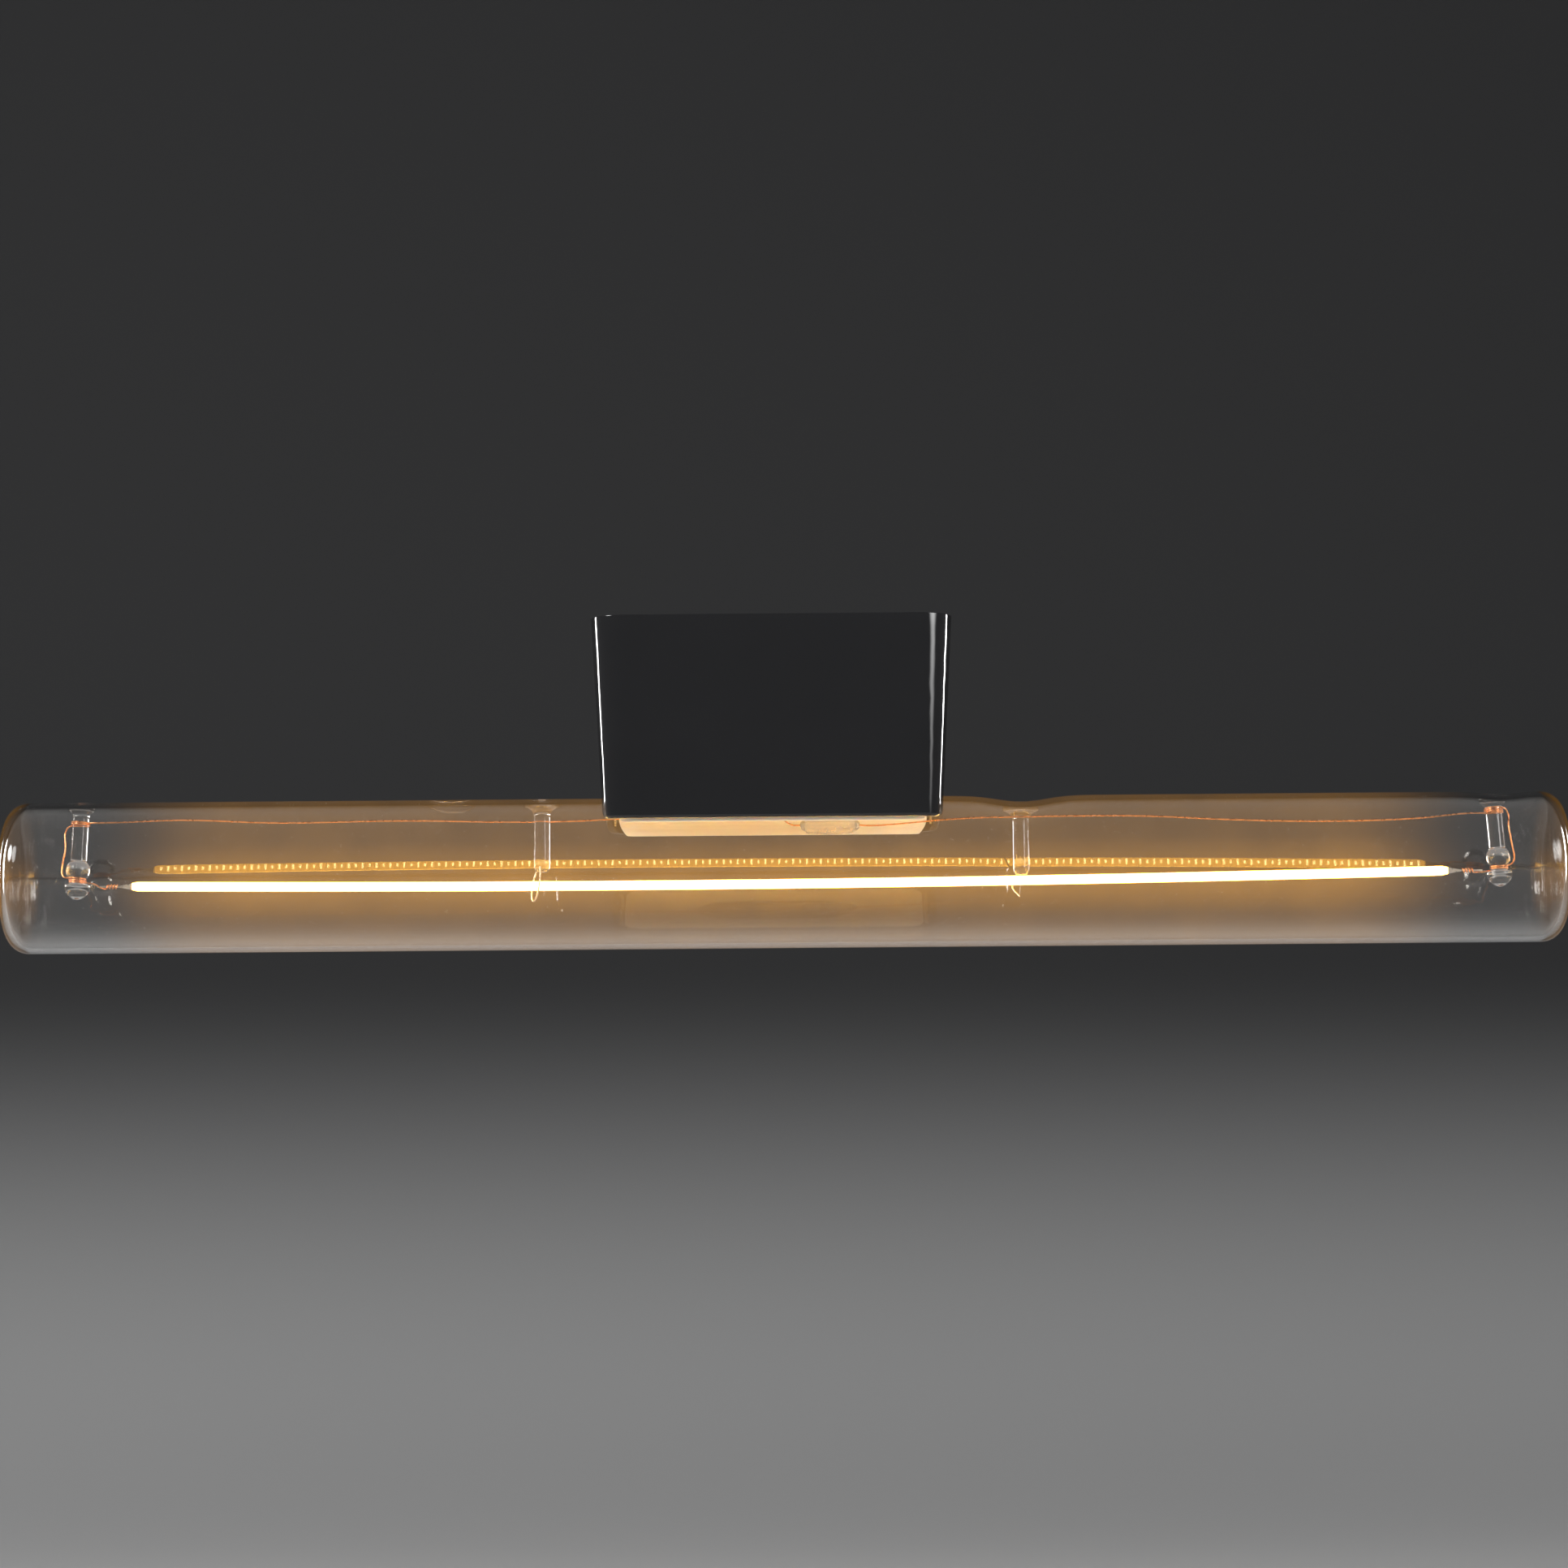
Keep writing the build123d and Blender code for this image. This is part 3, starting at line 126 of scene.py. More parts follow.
def end_in_mix(tree, share, first, second):
    """Let the material end in one shader or, by the share, in the other."""
    ends = {1: first.outputs["BSDF"], 2: second.outputs["BSDF"]}
    mix = add(tree, "MixShader", {"Fac": share, **ends})
    fill(tree, tree.nodes["Material Output"], {"Surface": mix.outputs["Shader"]})


def material(
    name, colour, rough, metal=0.0, grain=400.0, spread=0.08, bump=0.0, tint=0.1, stretch=(1, 1, 1)
):
    """A principled material whose colour and roughness wander a little over the surface."""
    mat, tree, shader = new_material(name)
    place = add(tree, "TexCoord", {}).outputs["Object"]
    scaled = add(tree, "Mapping", {"Vector": place, "Scale": stretch}).outputs["Vector"]
    noise = add(tree, "TexNoise", {"Vector": scaled, "Scale": grain, "Detail": 4.0}).outputs["Fac"]
    shades = {
        "Factor": noise,
        "A": (*[c * (1 - tint) for c in colour], 1),
        "B": (*[min(c * (1 + tint), 1.0) for c in colour], 1),
    }
    least, most = max(rough - spread, 0.0), rough + spread
    fill(tree, shader, {
        "Metallic": metal,
        "Roughness": ranged(tree, noise, NOISE_LOW, NOISE_HIGH, least, most),
        "Base Color": add(tree, "Mix", shades, data_type="RGBA").outputs["Result"],
    })
    if bump:
        relief = add(tree, "Bump", {"Height": noise, "Strength": bump, "Distance": RELIEF_DEPTH})
        fill(tree, shader, {"Normal": relief.outputs["Normal"]})
    return mat


def painted_glow(tree, place, smear, glow):
    """Painted glow of the filament's light on the glass, for the light its film scatters: most
    beside it, a little on the end walls.
    """
    middle = at(0.0, 0.0, FILAMENT[1][1] + 0.5)
    apart = add(tree, "VectorMath", {0: place, 1: middle}, operation="SUBTRACT").outputs["Vector"]
    apart = add(tree, "VectorMath", {0: apart}, operation="ABSOLUTE").outputs["Vector"]
    where = add(tree, "SeparateXYZ", {"Vector": apart})
    share = ranged(tree, smear, NOISE_LOW, NOISE_HIGH, 0.85 * glow, 1.15 * glow)
    for axis, reach, stops in (("X", HALF_LENGTH, GLOW_ALONG), ("Z", INNER, GLOW_UP)):
        part_way = worked_out(tree, "DIVIDE", where.outputs[axis], reach * MM)
        share = worked_out(tree, "MULTIPLY", share, ramp(tree, part_way, stops))
    return share


def glass(name, colour, dust, milky, rough=0.0, glow=0.0):
    """Clear glass that lets light through to what is inside, with a faint film, dust and, if given,
    a painted glow on it.
    """
    mat, tree, shader = new_material(name)
    place = add(tree, "TexCoord", {}).outputs["Object"]
    smear = add(tree, "TexNoise", {"Vector": place, "Scale": 90.0, "Detail": 5.0}).outputs["Fac"]
    haze = ranged(tree, smear, NOISE_LOW, NOISE_HIGH, 1.0 - 0.4 * milky, 1.0 - milky)
    cells = add(tree, "TexVoronoi", {"Vector": place, "Scale": 1500.0})
    chance = add(tree, "SeparateColor", {"Color": cells.outputs["Color"]}).outputs["Red"]
    size = ranged(tree, chance, 0.4, 1.0, 0.0, dust)
    speck = worked_out(tree, "LESS_THAN", cells.outputs["Distance"], size)
    fill(tree, shader, {
        "IOR": 1.5,
        "Base Color": (*colour, 1),
        "Roughness": ranged(tree, smear, 0.45, 0.8, rough, rough + 0.025),
        "Transmission Weight": worked_out(tree, "SUBTRACT", haze, speck, clamp=True),
    })
    # painted glow: the glass gives off amber light beside the filament, standing in for light its
    # film scatters
    if glow:
        light = painted_glow(tree, place, smear, glow)
        fill(tree, shader, {"Emission Color": (*FILAMENT_AMBER, 1), "Emission Strength": light})
        mat.cycles.emission_sampling = "NONE"
    ghost = add(tree, "BsdfTransparent", {"Color": (0.93, 0.92, 0.9, 1)})
    end_in_mix(tree, add(tree, "LightPath", {}).outputs["Is Shadow Ray"], shader, ghost)
    return mat


def glowing(name, colour, light, strength):
    """A lit material over a plain coloured one."""
    mat = material(name, colour, 0.5, grain=900.0)
    set_on(mat, {"Emission Color": (*light, 1), "Emission Strength": strength})
    return mat


# the tube's glass carries a painted glow of the filament's light
tube_glass = glass("clear_glass", (0.99, 0.985, 0.975), 0.07, 0.002, glow=0.1)
post_glass = glass("post_glass", (0.99, 0.975, 0.95), 0.0, 0.01)
stem_glass = glass("stem_glass", (0.97, 0.93, 0.86), 0.0, 0.4, 0.15)
coat_core = glowing("coat_core", (1.0, 0.62, 0.15), (1.0, 0.6, 0.14), 26.0)
coat_side = glowing("coat_side", (1.0, 0.6, 0.14), (1.0, 0.55, 0.1), 24.0)
coat_edge = glowing("coat_edge", (1.0, 0.55, 0.12), (1.0, 0.5, 0.08), 12.0)
coat_back = glowing("coat_back", (1.0, 0.6, 0.14), (1.0, 0.46, 0.05), 4.8)
chip_light = glowing("chip_light", (1.0, 0.8, 0.45), (1.0, 0.76, 0.3), 24.0)
copper = material("copper_wire", (0.86, 0.37, 0.16), 0.28, metal=1.0, grain=1500.0)
hook_metal = material("hook_wire", (0.66, 0.55, 0.42), 0.3, metal=1.0, grain=1500.0)
plated = material("plated_strip", (0.74, 0.68, 0.58), 0.3, metal=1.0, grain=900.0)
steel = material("plated_steel", (0.66, 0.66, 0.68), 0.27, metal=1.0, grain=700.0)
brass = material(
    "contact_brass", (0.8, 0.58, 0.24), 0.26, metal=1.0, grain=500.0, stretch=(1, 6, 1)
)
can_metal = material(
    "can_metal", (0.75, 0.75, 0.77), 0.3, metal=1.0, grain=500.0, stretch=(1, 1, 8)
)
laminate = material("board_laminate", (0.66, 0.6, 0.42), 0.55, grain=700.0)
moulded_black = material("moulded_black", (0.03, 0.03, 0.032), 0.5, grain=600.0, bump=0.15)
lacquer = material("fuse_lacquer", (0.3, 0.42, 0.32), 0.35, grain=600.0)
base_black = material("base_black", (0.05, 0.05, 0.052), 0.55, grain=500.0, bump=0.2)
cream = material("cap_cream", (0.86, 0.82, 0.73), 0.42, grain=260.0, bump=0.12, tint=0.05)
set_on(cream, {
    "Subsurface Weight": 0.5, "Subsurface Radius": (1.0, 0.7, 0.4), "Subsurface Scale": 0.0012,
})
gloss_black = material(
    "gloss_black", (0.011, 0.011, 0.012), 0.09, grain=60.0, spread=0.04, bump=0.015
)
set_on(gloss_black, {"Coat Weight": 0.6, "Coat Roughness": 0.04})

NODE_MATERIALS = {
    "filament_carrier": plated,
    "lead_in_pins": copper,
    "cap_body": cream,
    "cap_cover": cream,
    "cap_contact_left": brass,
    "cap_contact_right": brass,
    "driver_board": laminate,
    "bridge_rectifier": moulded_black,
    "smoothing_capacitor": can_metal,
    "choke": moulded_black,
    "fuse_resistor": lacquer,
    "holder_housing": gloss_black,
    "holder_base": base_black,
    "housing_screws": steel,
    "contact_spring_left": brass,
    "contact_spring_right": brass,
    "terminal_left": brass,
    "terminal_right": brass,
    "terminal_screws": steel,
}
BEVELS = {"holder_housing": 0.5, "cap_body": 0.25, "cap_cover": 0.25}
WELD_REACH = 0.00002
BEVEL_FROM = math.radians(35)


def smooth_group():
    """A geometry group that shades every face smooth."""
    group = bpy.data.node_groups.new("smooth", "GeometryNodeTree")
    for way in ("INPUT", "OUTPUT"):
        group.interface.new_socket("Geometry", in_out=way, socket_type="NodeSocketGeometry")
    source = group.nodes.new("NodeGroupInput")
    shaded = group.nodes.new("GeometryNodeSetShadeSmooth")
    result = group.nodes.new("NodeGroupOutput")
    group.links.new(source.outputs[0], shaded.inputs["Geometry"])
    group.links.new(shaded.outputs["Geometry"], result.inputs[0])
    return group


smooth = smooth_group()
for name, mat in NODE_MATERIALS.items():
    node = nodes[name]
    node.data.materials.clear()
    node.data.materials.append(mat)
    if name in BEVELS:
        weld = node.modifiers.new("weld", "WELD")
        weld.merge_threshold = WELD_REACH
        bevel = node.modifiers.new("bevel", "BEVEL")
        bevel.width = BEVELS[name] * MM
        bevel.segments = 3
        bevel.limit_method = "ANGLE"
        bevel.angle_limit = BEVEL_FROM
        node.modifiers.new("smooth", "NODES").node_group = smooth
        node.modifiers.new("flat_faces", "WEIGHTED_NORMAL")


# Pieces that stand for nodes

def placed(name, data):
    """A new object in the scene."""
    obj = bpy.data.objects.new(name, data)
    bpy.context.scene.collection.objects.link(obj)
    return obj


def smooth_mesh(name, points, faces, mats):
    """A mesh that is shaded smooth, with its materials."""
    mesh = bpy.data.meshes.new(name)
    mesh.from_pydata([tuple(p) for p in points], [], faces)
    for mat in mats:
        mesh.materials.append(mat)
    for polygon in mesh.polygons:
        polygon.use_smooth = True
    return mesh


def finish_piece(obj, node):
    """Let a piece ride on the lamp and let it stand for its node, which is hidden."""
    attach(obj, "root")
    if node:
        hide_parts(node)


def piece(name, points, faces, mats, node, indices=None):
    """A smooth mesh piece in one material, or in several by an index for each face."""
    mesh = smooth_mesh(name, points, faces, mats)
    for polygon, index in zip(mesh.polygons, indices or ()):
        polygon.material_index = index
    mesh.update()
    finish_piece(placed(name, mesh), node)


def facing(points, faces, outward=True):
    """The faces of a closed shell, turned so that all of them look out of it, or into it."""
    volume = 0.0
    for face in faces:
        for i in range(1, len(face) - 1):
            volume += points[face[0]].dot(points[face[i]].cross(points[face[i + 1]]))
    return faces if (volume > 0) == outward else [tuple(reversed(face)) for face in faces]


def turned(profile, steps, place, outward=True):
    """Points and faces of a profile (radius, height) turned round its axis; both ends lie on it."""
    points, faces = [place(0.0, 0.0, profile[0][1])], []
    for radius, height in profile[1:-1]:
        for i in range(steps):
            a = 2 * math.pi * i / steps
            points.append(place(radius * math.cos(a), radius * math.sin(a), height))
    points.append(place(0.0, 0.0, profile[-1][1]))
    rings = len(profile) - 2
    for i in range(steps):
        j = (i + 1) % steps
        faces.append((0, 1 + i, 1 + j))
        for k in range(rings - 1):
            a, b = 1 + k * steps, 1 + (k + 1) * steps
            faces.append((a + i, b + i, b + j, a + j))
        last = 1 + (rings - 1) * steps
        faces.append((last + i, len(points) - 1, last + j))
    return points, facing(points, faces, outward)


def softened(points, rounds):
    """The open line with its corners cut again and again."""
    for _ in range(rounds):
        cut = [points[0]]
        for (x0, y0), (x1, y1) in zip(points, points[1:]):
            cut.append((0.75 * x0 + 0.25 * x1, 0.75 * y0 + 0.25 * y1))
            cut.append((0.25 * x0 + 0.75 * x1, 0.25 * y0 + 0.75 * y1))
        cut.append(points[-1])
        points = cut
    return points


def arc(cx, cy, radius, start, end, steps):
    """Points on an arc, angles in degrees."""
    turn = [math.radians(start + (end - start) * i / steps) for i in range(steps + 1)]
    return [(cx + radius * math.cos(a), cy + radius * math.sin(a)) for a in turn]


# Glass tube: a closed outer shell and a closed inner one, drawn in where two posts are fused on

# Half length, radius, corner radius and radius of the domed end
OUTER_SHELL = (HALF_LENGTH, RADIUS, 4.2, 55.0)
INNER_SHELL = (HALF_LENGTH - 1.1, INNER, 3.4, 50.0)
TUBE_STEPS, TUBE_SIDES = 150, 128


def drawn_in(x, y):
    """How far the top of the tube lies below its round outline."""
    return sum(
        depth * math.exp(-(((x - cx) / wide) ** 2) / 2 - ((y / deep) ** 2) / 2)
        for cx, depth, wide, deep in DENTS
    )


def shell(half, radius, corner, dome):
    """A closed tube's outline as (radius, distance along), from one end's middle to the other's."""
    centre = half - dome + math.sqrt((dome - corner) ** 2 - (radius - corner) ** 2)
    meet = math.degrees(math.asin((radius - corner) / (dome - corner)))
    end = [(y, x) for x, y in arc(half - dome, 0, dome, 0, meet, 8)]
    end += [(y, x) for x, y in arc(centre, radius - corner, corner, meet, 90, 12)[1:]]
    middle = [(radius, centre - 2 * centre * i / TUBE_STEPS) for i in range(1, TUBE_STEPS)]
    return end + middle + [(r, -x) for r, x in reversed(end)]


def tube_place(a, b, x):
    """A shell's point: a to the viewer's side, b up, x along, lowered where the top is drawn in."""
    if b > 0:
        b -= drawn_in(x, a) * min(b / 4.0, 1.0)
    return at(x, -a, b)


outer_points, outer_faces = turned(shell(*OUTER_SHELL), TUBE_SIDES, tube_place)
inner_points, inner_faces = turned(shell(*INNER_SHELL), TUBE_SIDES, tube_place, outward=False)
shift = len(outer_points)
tube_faces = outer_faces + [tuple(i + shift for i in face) for face in inner_faces]
piece("tube", outer_points + inner_points, tube_faces, [tube_glass], "glass_tube")


# Glass posts

ROD = 1.55
POST_SIDES = 40
# Wire groove and drop-shaped tip of an end post, as (radius, height from the groove's top)
TIP = (
    (1.62, -0.1), (1.45, -0.35), (1.45, -1.05), (1.7, -1.3), (2.35, -1.45), (2.55, -1.75),
    (2.45, -2.35), (2.05, -3.05), (1.4, -3.75), (0.75, -4.15), (0.3, -4.3), (0.0, -4.32),
)


def post_place(x, lean):
    """Places round a post's leaning axis, kept inside the tube's wall."""
    turn = math.radians(lean)

    def place(a, b, height):
        px = x + a * math.cos(turn) + height * math.sin(turn)
        pz = height * math.cos(turn) - a * math.sin(turn)
        roof = math.sqrt(INNER**2 - b**2) - drawn_in(px, b) + 0.12
        return at(px, b, min(pz, roof))

    return place


def foot(x, width, rise):
    """The flared foot's outline, from the wall down to the rod."""
    edge = INNER - 0.35 - drawn_in(x, 0.0)
    flare = [
        (ROD + (width - ROD) * (1 - math.sin(a)), edge - rise * (1 - math.cos(a)))
        for a in [math.pi / 2 * i / 8 for i in range(9)]
    ]
    return [(0.0, RADIUS), (width * 0.5, RADIUS), (width, RADIUS)] + flare


def post(node, outline, rounds, place):
    """A post turned from its softened outline."""
    points, faces = turned(softened(outline, rounds), POST_SIDES, place)
    piece(node + "_glass", points, faces, [post_glass], node)


for side, (x, lean, lift) in END_POSTS.items():
    ball, groove = 1.5 + lift, 0.2 + lift
    outline = foot(x, 2.5, 1.9) + [(ROD, 8.0), (ROD, ball + 2.3)]
    outline += arc(0, ball, 2.325, 46, -30, 10) + [(r, groove + h) for r, h in TIP]
    post("end_post_" + side, outline, 2, post_place(x, lean))

for side, (x, bottom) in MID_POSTS.items():
    outline = foot(x, 3.35, 2.2) + [(ROD, 6.0), (ROD, bottom + 1.3)]
    outline += arc(0, bottom + 1.1, ROD, 0, -80, 8)
    outline = [(r, max(h, bottom)) for r, h in outline] + [(0.0, bottom)]
    post("mid_post_" + side, outline, 1, post_place(x, 0.0))


# Filament: coat with a bright flat and darker edges, and the chips that shine through it

START, END = FILAMENT[0][0], FILAMENT[2][0]
COAT_STEPS, COAT_SIDES = 220, 32
HALF_DEPTH, HALF_HEIGHT = 0.45, 0.9
ROUNDED = 0.62  # how square the coat's top and bottom are
COAT_LOOKS = [coat_core, coat_side, coat_edge, coat_back]
CORE, SIDE, EDGE, BACK = range(4)
CHIPS, CHIP_MARGIN, CHIP_HALF = 182, 1.4, 0.18
CHIP_HEIGHTS = (0.34, 0.55)
BOX_FACES = ((0, 1, 3, 2), (4, 6, 7, 5), (0, 4, 5, 1), (2, 3, 7, 6), (0, 2, 6, 4), (1, 5, 7, 3))


def filament_arc():
    """Centre and radius of the shallow arc through the filament's ends and middle."""
    (x1, z1), (x2, z2), (x3, z3) = FILAMENT
    d = 2 * (x1 * (z2 - z3) + x2 * (z3 - z1) + x3 * (z1 - z2))
    s1, s2, s3 = x1**2 + z1**2, x2**2 + z2**2, x3**2 + z3**2
    cx = (s1 * (z2 - z3) + s2 * (z3 - z1) + s3 * (z1 - z2)) / d
    cz = (s1 * (x3 - x2) + s2 * (x1 - x3) + s3 * (x2 - x1)) / d
    return cx, cz, math.hypot(x1 - cx, z1 - cz)


ARC_X, ARC_Z, ARC_R = filament_arc()


def filament_z(x):
    """Height of the filament's line."""
    return ARC_Z - math.copysign(math.sqrt(ARC_R**2 - (x - ARC_X) ** 2), ARC_Z)


def coat_look(steps_in, turn):
    """The look of a coat's face by its steps from the nearer end and its turn round the coat."""
    height = abs(math.sin(turn)) ** ROUNDED
    if math.cos(turn) > 0.2:
        return BACK
    if height > 0.88 or steps_in < 2:
        return EDGE
    return SIDE if height > 0.6 or steps_in < 5 else CORE


coat_points, coat_faces, coat_indices = [], [], []
for i in range(COAT_STEPS + 1):
    x = START + (END - START) * i / COAT_STEPS
    taper = 0.72 + 0.28 * min(min(x - START, END - x) / 1.2, 1.0) ** 0.5
    for k in range(COAT_SIDES):
        a = 2 * math.pi * k / COAT_SIDES
        c, s = math.cos(a), math.sin(a)
        y = HALF_DEPTH * taper * math.copysign(abs(c) ** 0.5, c)
        z = HALF_HEIGHT * taper * math.copysign(abs(s) ** ROUNDED, s)
        coat_points.append(at(x, y, filament_z(x) + z))
for i in range(COAT_STEPS):
    a, b = i * COAT_SIDES, (i + 1) * COAT_SIDES
    for k in range(COAT_SIDES):
        n = (k + 1) % COAT_SIDES
        coat_faces.append((a + k, a + n, b + n, b + k))
        turn = 2 * math.pi * (k + 0.5) / COAT_SIDES
        coat_indices.append(coat_look(min(i, COAT_STEPS - 1 - i), turn))
last = COAT_STEPS * COAT_SIDES
coat_faces += [tuple(range(COAT_SIDES - 1, -1, -1)), tuple(range(last, last + COAT_SIDES))]
coat_indices += [EDGE, EDGE]
coat_faces = facing(coat_points, coat_faces)
piece("coat", coat_points, coat_faces, COAT_LOOKS, "phosphor_coat", coat_indices)

chip_points, chip_faces = [], []
for i in range(CHIPS):
    x = START + CHIP_MARGIN + (END - START - 2 * CHIP_MARGIN) * i / (CHIPS - 1)
    tall = CHIP_HEIGHTS[i % 2]
    for y0, y1 in ((-0.47, -0.4), (0.4, 0.47)):
        n = len(chip_points)
        chip_points += [
            at(px, py, filament_z(x) + pz)
            for px in (x - CHIP_HALF, x + CHIP_HALF) for py in (y0, y1) for pz in (-tall, tall)
        ]
        chip_faces += [tuple(n + j for j in face) for face in BOX_FACES]
chip_faces = facing(chip_points, chip_faces)
piece("chip_glow", chip_points, chip_faces, [chip_light], "led_chips")


# Wires

LEAD_THICK, HOOK_THICK = 0.3, 0.35


def wire(name, route, thickness, mat, node):
    """A round wire through the points of a route."""
    curve = bpy.data.curves.new(name, "CURVE")
    curve.dimensions = "3D"
    curve.bevel_depth = thickness / 2 * MM
    curve.bevel_resolution = 2
    curve.resolution_u = 6
    curve.use_fill_caps = True
    line = curve.splines.new("BEZIER")
    line.bezier_points.add(len(route) - 1)
    for point, place in zip(line.bezier_points, route):
        point.co = place
        point.handle_left_type = point.handle_right_type = "AUTO"
    curve.materials.append(mat)
    finish_piece(placed(name, curve), node)


def around(place, height, radius, start, turns, pitch):
    """A wire's turns round a post, angles in degrees from the post's +X side."""
    steps = max(round(turns * 10), 2)
    points = []
    for i in range(steps + 1):
        a = math.radians(start) + 2 * math.pi * turns * i / steps
        climb = pitch * turns * i / steps
        points.append(place(radius * math.cos(a), radius * math.sin(a), height + climb))
    return points


def round_pin(x, y, z, radius, turns, length):
    """Turns round the filament's pin, along x."""
    steps = round(turns * 10)
    points = []
    for i in range(steps + 1):
        a = 2 * math.pi * turns * i / steps
        across, down = radius * math.sin(a), radius * math.cos(a)
        points.append(at(x + length * i / steps, y - across, z - down))
    return points


left_post, right_post = [post_place(x, lean) for x, lean, _ in END_POSTS.values()]

left_route = [
    at(3.4, STEM_Y, STEM_Z), at(1.4, STEM_Y, STEM_Z + 0.15), at(-1.4, 1.65, 11.2),
    at(-20.0, 1.85, 11.7), at(-36.5, 1.85, 10.7), at(-46.5, 1.85, 10.45), at(-54.4, 1.85, 10.5),
    at(-72.7, 1.85, 10.9), at(-98.4, 1.85, 10.7), at(-115.9, 1.85, 11.4), at(-128.5, 1.72, 11.0),
]
left_route += around(left_post, 10.95, 1.72, 60, 2.35, -0.36)
left_route += [
    left_post(-2.75, 0.39, 9.4), left_post(-2.65, -0.21, 5.6), left_post(-3.0, -0.3, 2.6),
    left_post(-3.0, -0.51, 0.9), left_post(-2.4, -0.9, 0.05),
]
left_route += around(left_post, 0.02, 1.62, 215, 2.3, -0.38)
left_route += [left_post(3.2, -0.6, -0.95), at(-130.7, -0.6, -2.0)]
left_route += round_pin(-129.9, 0.0, -1.66, 0.34, 3.5, 2.0)

right_route = [
    at(14.4, STEM_Y, STEM_Z), at(16.5, STEM_Y, STEM_Z - 0.15), at(34.2, -0.95, 10.1),
    at(44.4, -1.87, 10.3), at(55.5, -1.87, 10.3), at(67.8, -1.87, 10.2), at(86.4, -1.87, 9.3),
    at(102.2, -1.87, 8.9), at(121.1, -1.87, 9.3), at(131.0, -1.72, 10.2),
]
right_route += around(right_post, 10.4, 1.72, 240, 3.2, 0.36)
right_route += [
    right_post(2.75, 0.6, 10.6), right_post(2.6, 0.0, 7.5), right_post(2.95, 0.0, 3.6),
    right_post(3.1, 0.39, 1.2), right_post(2.4, 0.9, 0.35),
]
right_route += around(right_post, 0.32, 1.62, 35, 2.3, -0.38)
right_route += [right_post(-3.2, 0.6, -0.65), at(132.9, 0.6, -0.95)]
right_route += round_pin(131.9, 0.0, -0.63, 0.34, 3.5, -2.0)

wire("lead_left", left_route, LEAD_THICK, copper, "lead_wire_left")
wire("lead_right", right_route, LEAD_THICK, copper, "lead_wire_right")

# Points of each hook, from its post's place along the tube
HOOKS = {
    "left": (
        (-0.3, -0.75, 1.6), (-0.3, -0.75, 0.4), (-0.4, -0.75, -0.9), (-0.8, -0.75, -3.6),
        (-1.2, -0.55, -4.7), (-1.6, 0.0, -5.1), (-1.95, 0.5, -4.7), (-2.05, 0.75, -3.6),
        (-1.55, 0.75, -0.6), (-1.2, 0.75, 0.4), (-1.0, 0.75, 1.6),
    ),
    "right": (
        (-0.9, 0.75, 0.5), (-0.9, 0.75, -0.8), (-1.3, 0.75, -1.6), (-1.75, 0.75, -3.0),
        (-1.5, 0.5, -3.7), (-1.0, 0.1, -4.3), (-0.4, -0.4, -5.0),
    ),
}
for side, hook in HOOKS.items():
    route = [at(MID_POSTS[side][0] + x, y, z) for x, y, z in hook]
    wire("hook_" + side, route, HOOK_THICK, hook_metal, "hook_wire_" + side)


# Lead-in seal: a milky bar with a bead at each end

BAR = (
    (0.0, 3.0), (0.55, 3.05), (1.05, 3.6), (1.2, 4.1), (1.75, 4.3),
    (1.75, 13.2), (1.2, 13.4), (1.05, 13.9), (0.55, 14.45), (0.0, 14.5),
)


def stem_place(a, b, x):
    """A place round the bar's axis, x along it."""
    return at(x, STEM_Y + a, STEM_Z + b)


points, faces = turned(softened(BAR, 2), 32, stem_place)
piece("stem", points, faces, [stem_glass], "lead_in_stem")


# Ring left by the sealed exhaust hole in the top of the tube

RING_X, RING_RADIUS = -63.8, 4.15
RING_STEPS, RING_SIDES = 64, 10

ring_points, ring_faces = [], []
for i in range(RING_STEPS):
    a = 2 * math.pi * i / RING_STEPS
    for k in range(RING_SIDES):
        b = 2 * math.pi * k / RING_SIDES
        r = RING_RADIUS + 0.28 * math.cos(b)
        y = r * math.sin(a)
        roof = math.sqrt(INNER**2 - y**2)
        ring_points.append(at(RING_X + r * math.cos(a), y, roof + 0.1 + 0.22 * math.sin(b)))
for i in range(RING_STEPS):
    a, b = i * RING_SIDES, (i + 1) % RING_STEPS * RING_SIDES
    for k in range(RING_SIDES):
        n = (k + 1) % RING_SIDES
        ring_faces.append((a + k, b + k, b + n, a + n))
ring_faces = facing(ring_points, ring_faces)
piece("seal_ring", ring_points, ring_faces, [post_glass], None)


# Studio: a pale floor that curves up into a darker backdrop, clear when seen from behind

FLOOR_Z = -0.2
FLOOR_GREY, BACKDROP_GREY = (0.45, 0.45, 0.45, 1), (0.03, 0.03, 0.031, 1)
STAGE_HALF = 3.0
BEND_START, BEND, BEND_STEPS = 0.2, 1.2, 40


def stage_sheet(name, profile, half_width, mat):
    """A wide sheet along a profile of (distance back, height)."""
    points = [(x, y, z) for y, z in profile for x in (-half_width, half_width)]
    faces = [(2 * i, 2 * i + 1, 2 * i + 3, 2 * i + 2) for i in range(len(profile) - 1)]
    obj = placed(name, smooth_mesh(name, points, faces, [mat]))


stage_mat, tree, shader = new_material("studio_floor")
stage_at = add(tree, "TexCoord", {}).outputs["Object"]
height = add(tree, "SeparateXYZ", {"Vector": stage_at}).outputs["Z"]
fade = ranged(tree, height, FLOOR_Z, 0.0, 0.0, 1.0, "SMOOTHSTEP")
greys = {"Factor": fade, "A": FLOOR_GREY, "B": BACKDROP_GREY}
backdrop = add(tree, "Mix", greys, data_type="RGBA").outputs["Result"]
fill(tree, shader, {"Roughness": 0.8, "Base Color": backdrop})
from_behind = add(tree, "NewGeometry", {}).outputs["Backfacing"]
end_in_mix(tree, from_behind, shader, add(tree, "BsdfTransparent", {}))

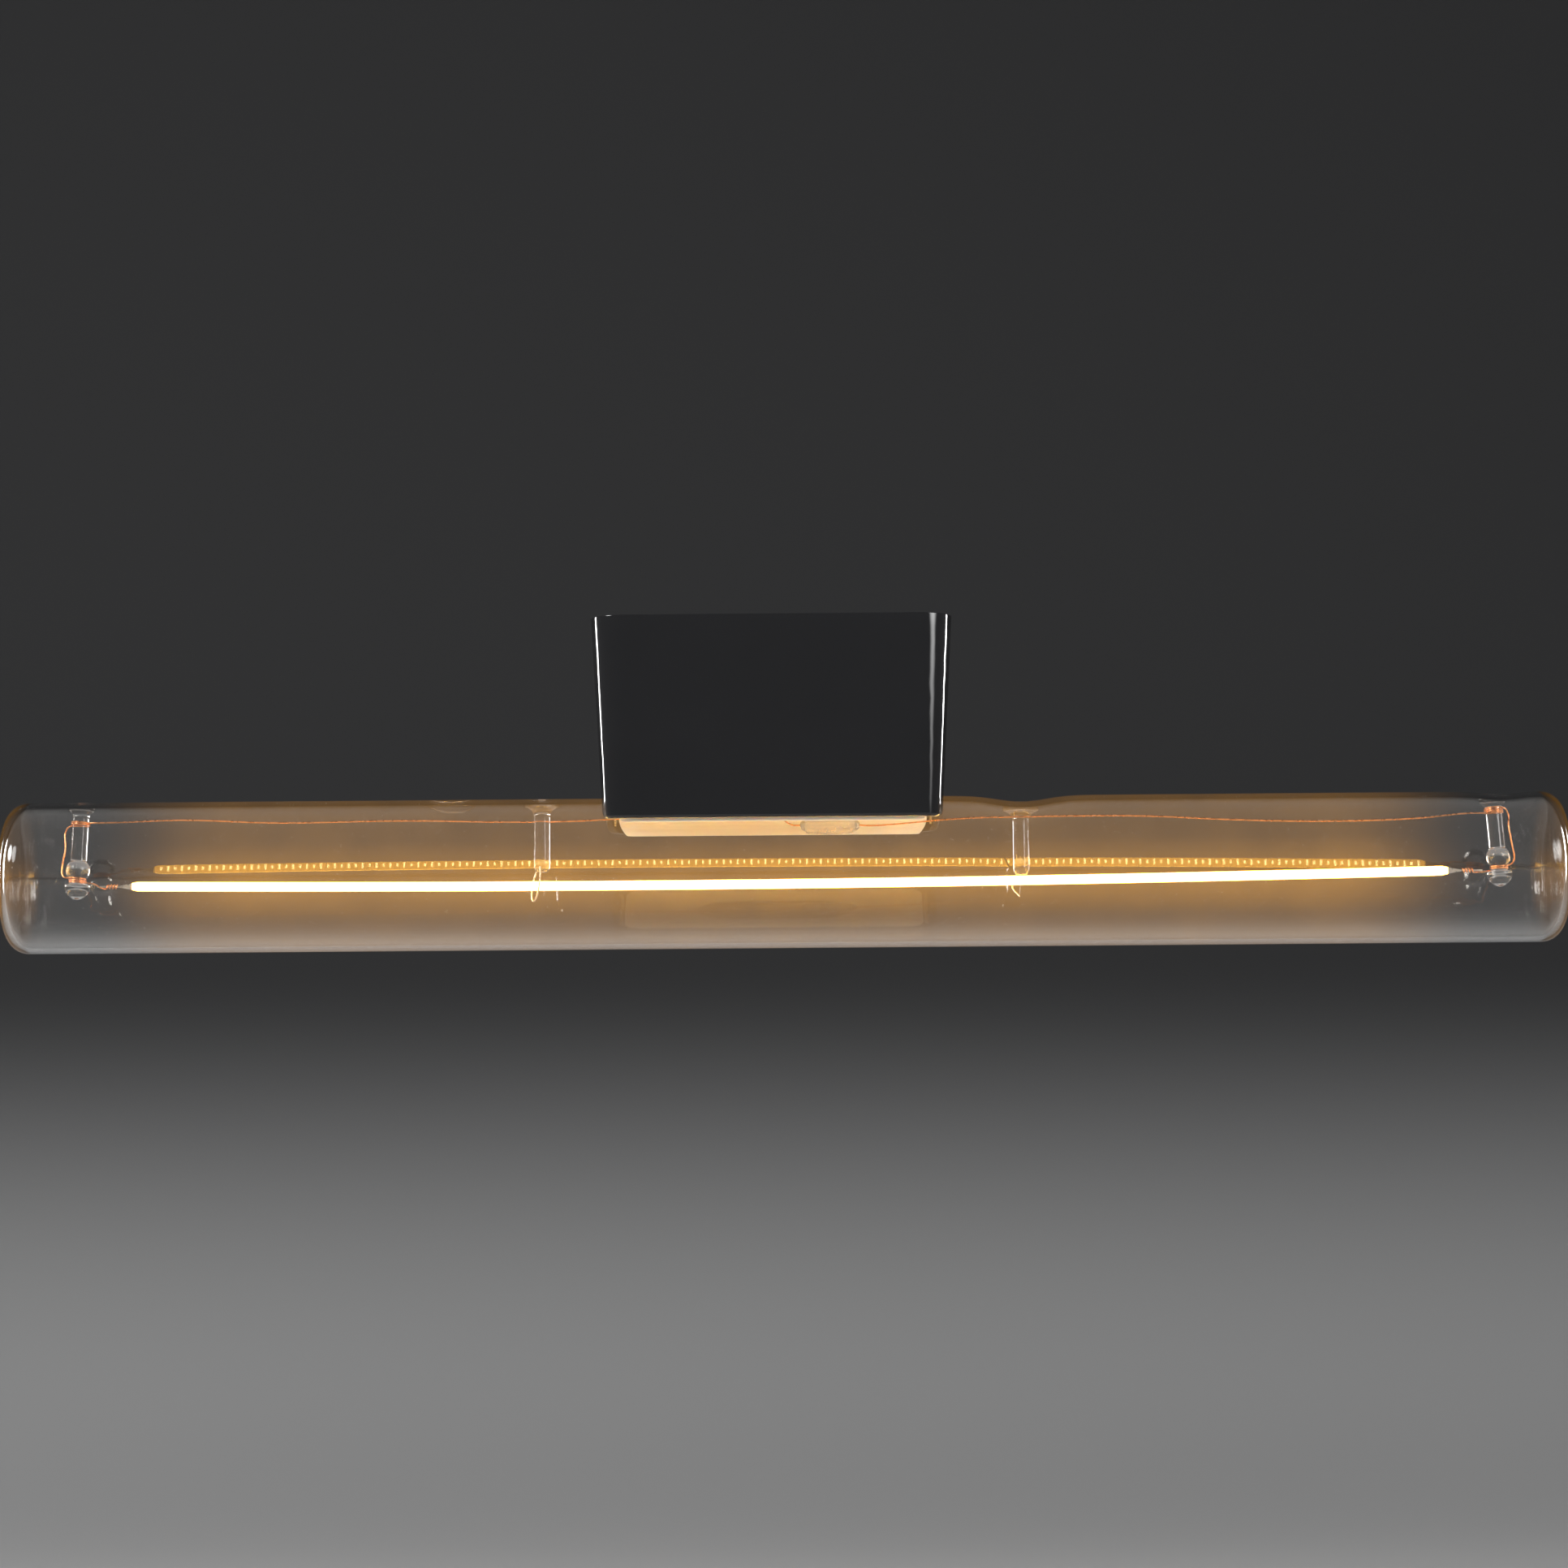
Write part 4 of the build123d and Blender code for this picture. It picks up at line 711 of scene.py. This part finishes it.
bend = [i / BEND_STEPS for i in range(1, BEND_STEPS + 1)]
sweep = [(-STAGE_HALF, FLOOR_Z), (BEND_START, FLOOR_Z)]
sweep += [(BEND_START + BEND * t, FLOOR_Z + BEND * t**4) for t in bend]
sweep += [(1.45, 2.5)]
stage_sheet("floor", sweep, STAGE_HALF, stage_mat)

LAMP_MIDDLE = (0.5, 0.5, 0)
LAMP_CORE, LAMP_RIM = 0.1, 0.5
RIM_LOSS = 3.25  # brings a lamp's light back to what it would be with no dark rim


def lamp(name, place, target, size, energy, spread=180):
    """A rectangular lamp facing a place, full in its middle and fading to its rim."""
    data = bpy.data.lights.new(name, "AREA")
    data.shape = "RECTANGLE"
    data.size, data.size_y = size
    data.energy = energy
    data.spread = math.radians(spread)
    data.use_nodes = True
    tree = data.node_tree
    on_lamp = add(tree, "NewGeometry", {}).outputs["Parametric"]
    apart = add(tree, "VectorMath", {0: on_lamp, 1: LAMP_MIDDLE}, operation="DISTANCE")
    soft = ranged(tree, apart.outputs["Value"], LAMP_CORE, LAMP_RIM, RIM_LOSS, 0.0, "SMOOTHSTEP")
    fill(tree, tree.nodes["Emission"], {"Strength": soft})
    obj = placed(name, data)
    obj.location = place
    way = Vector(target) - Vector(place)
    obj.rotation_euler = way.to_track_quat("-Z", "Y").to_euler()


lamp("key", (-1.15, -0.8, 0.7), (0, 0, -0.04), (0.7, 0.7), 22)
lamp("fill", (0.9, -0.8, 0.3), (0, 0, -0.04), (0.8, 0.8), 8)
for side, x in (("left", -0.95), ("right", 0.95)):
    lamp("strip_" + side, (x, 0.38, 0.13), (0, 0, 0), (0.15, 0.62), 0.22, spread=40)

world = bpy.data.worlds.new("studio")
bpy.context.scene.world = world
world.use_nodes = True
sky = world.node_tree.nodes["Background"]
fill(world.node_tree, sky, {"Color": (0.8, 0.81, 0.83, 1), "Strength": 0.16})
bpy.context.scene.view_settings.view_transform = "Standard"


# Camera at the photograph's view: from below, with a slight roll

LIFT, ROLL = math.radians(6.2), math.radians(0.47)
DISTANCE, AIM_RISE = 0.7795, 0.017  # from what it looks at, which lies this far over the tube
LENS, SENSOR = 93.34, 36.0

forward = Vector((0, math.cos(LIFT), math.sin(LIFT)))
above = Vector((0, -math.sin(LIFT), math.cos(LIFT)))
aside = Vector((1, 0, 0))
right = aside * math.cos(ROLL) - above * math.sin(ROLL)
up = above * math.cos(ROLL) + aside * math.sin(ROLL)
eye = at(0, 0, 0) + above * AIM_RISE - forward * DISTANCE
camera_data = bpy.data.cameras.new("camera")
camera_data.lens, camera_data.sensor_width = LENS, SENSOR
camera = placed("camera", camera_data)
camera.matrix_world = Matrix((
    (right.x, up.x, -forward.x, eye.x),
    (right.y, up.y, -forward.y, eye.y),
    (right.z, up.z, -forward.z, eye.z),
    (0, 0, 0, 1),
))
bpy.context.scene.camera = camera
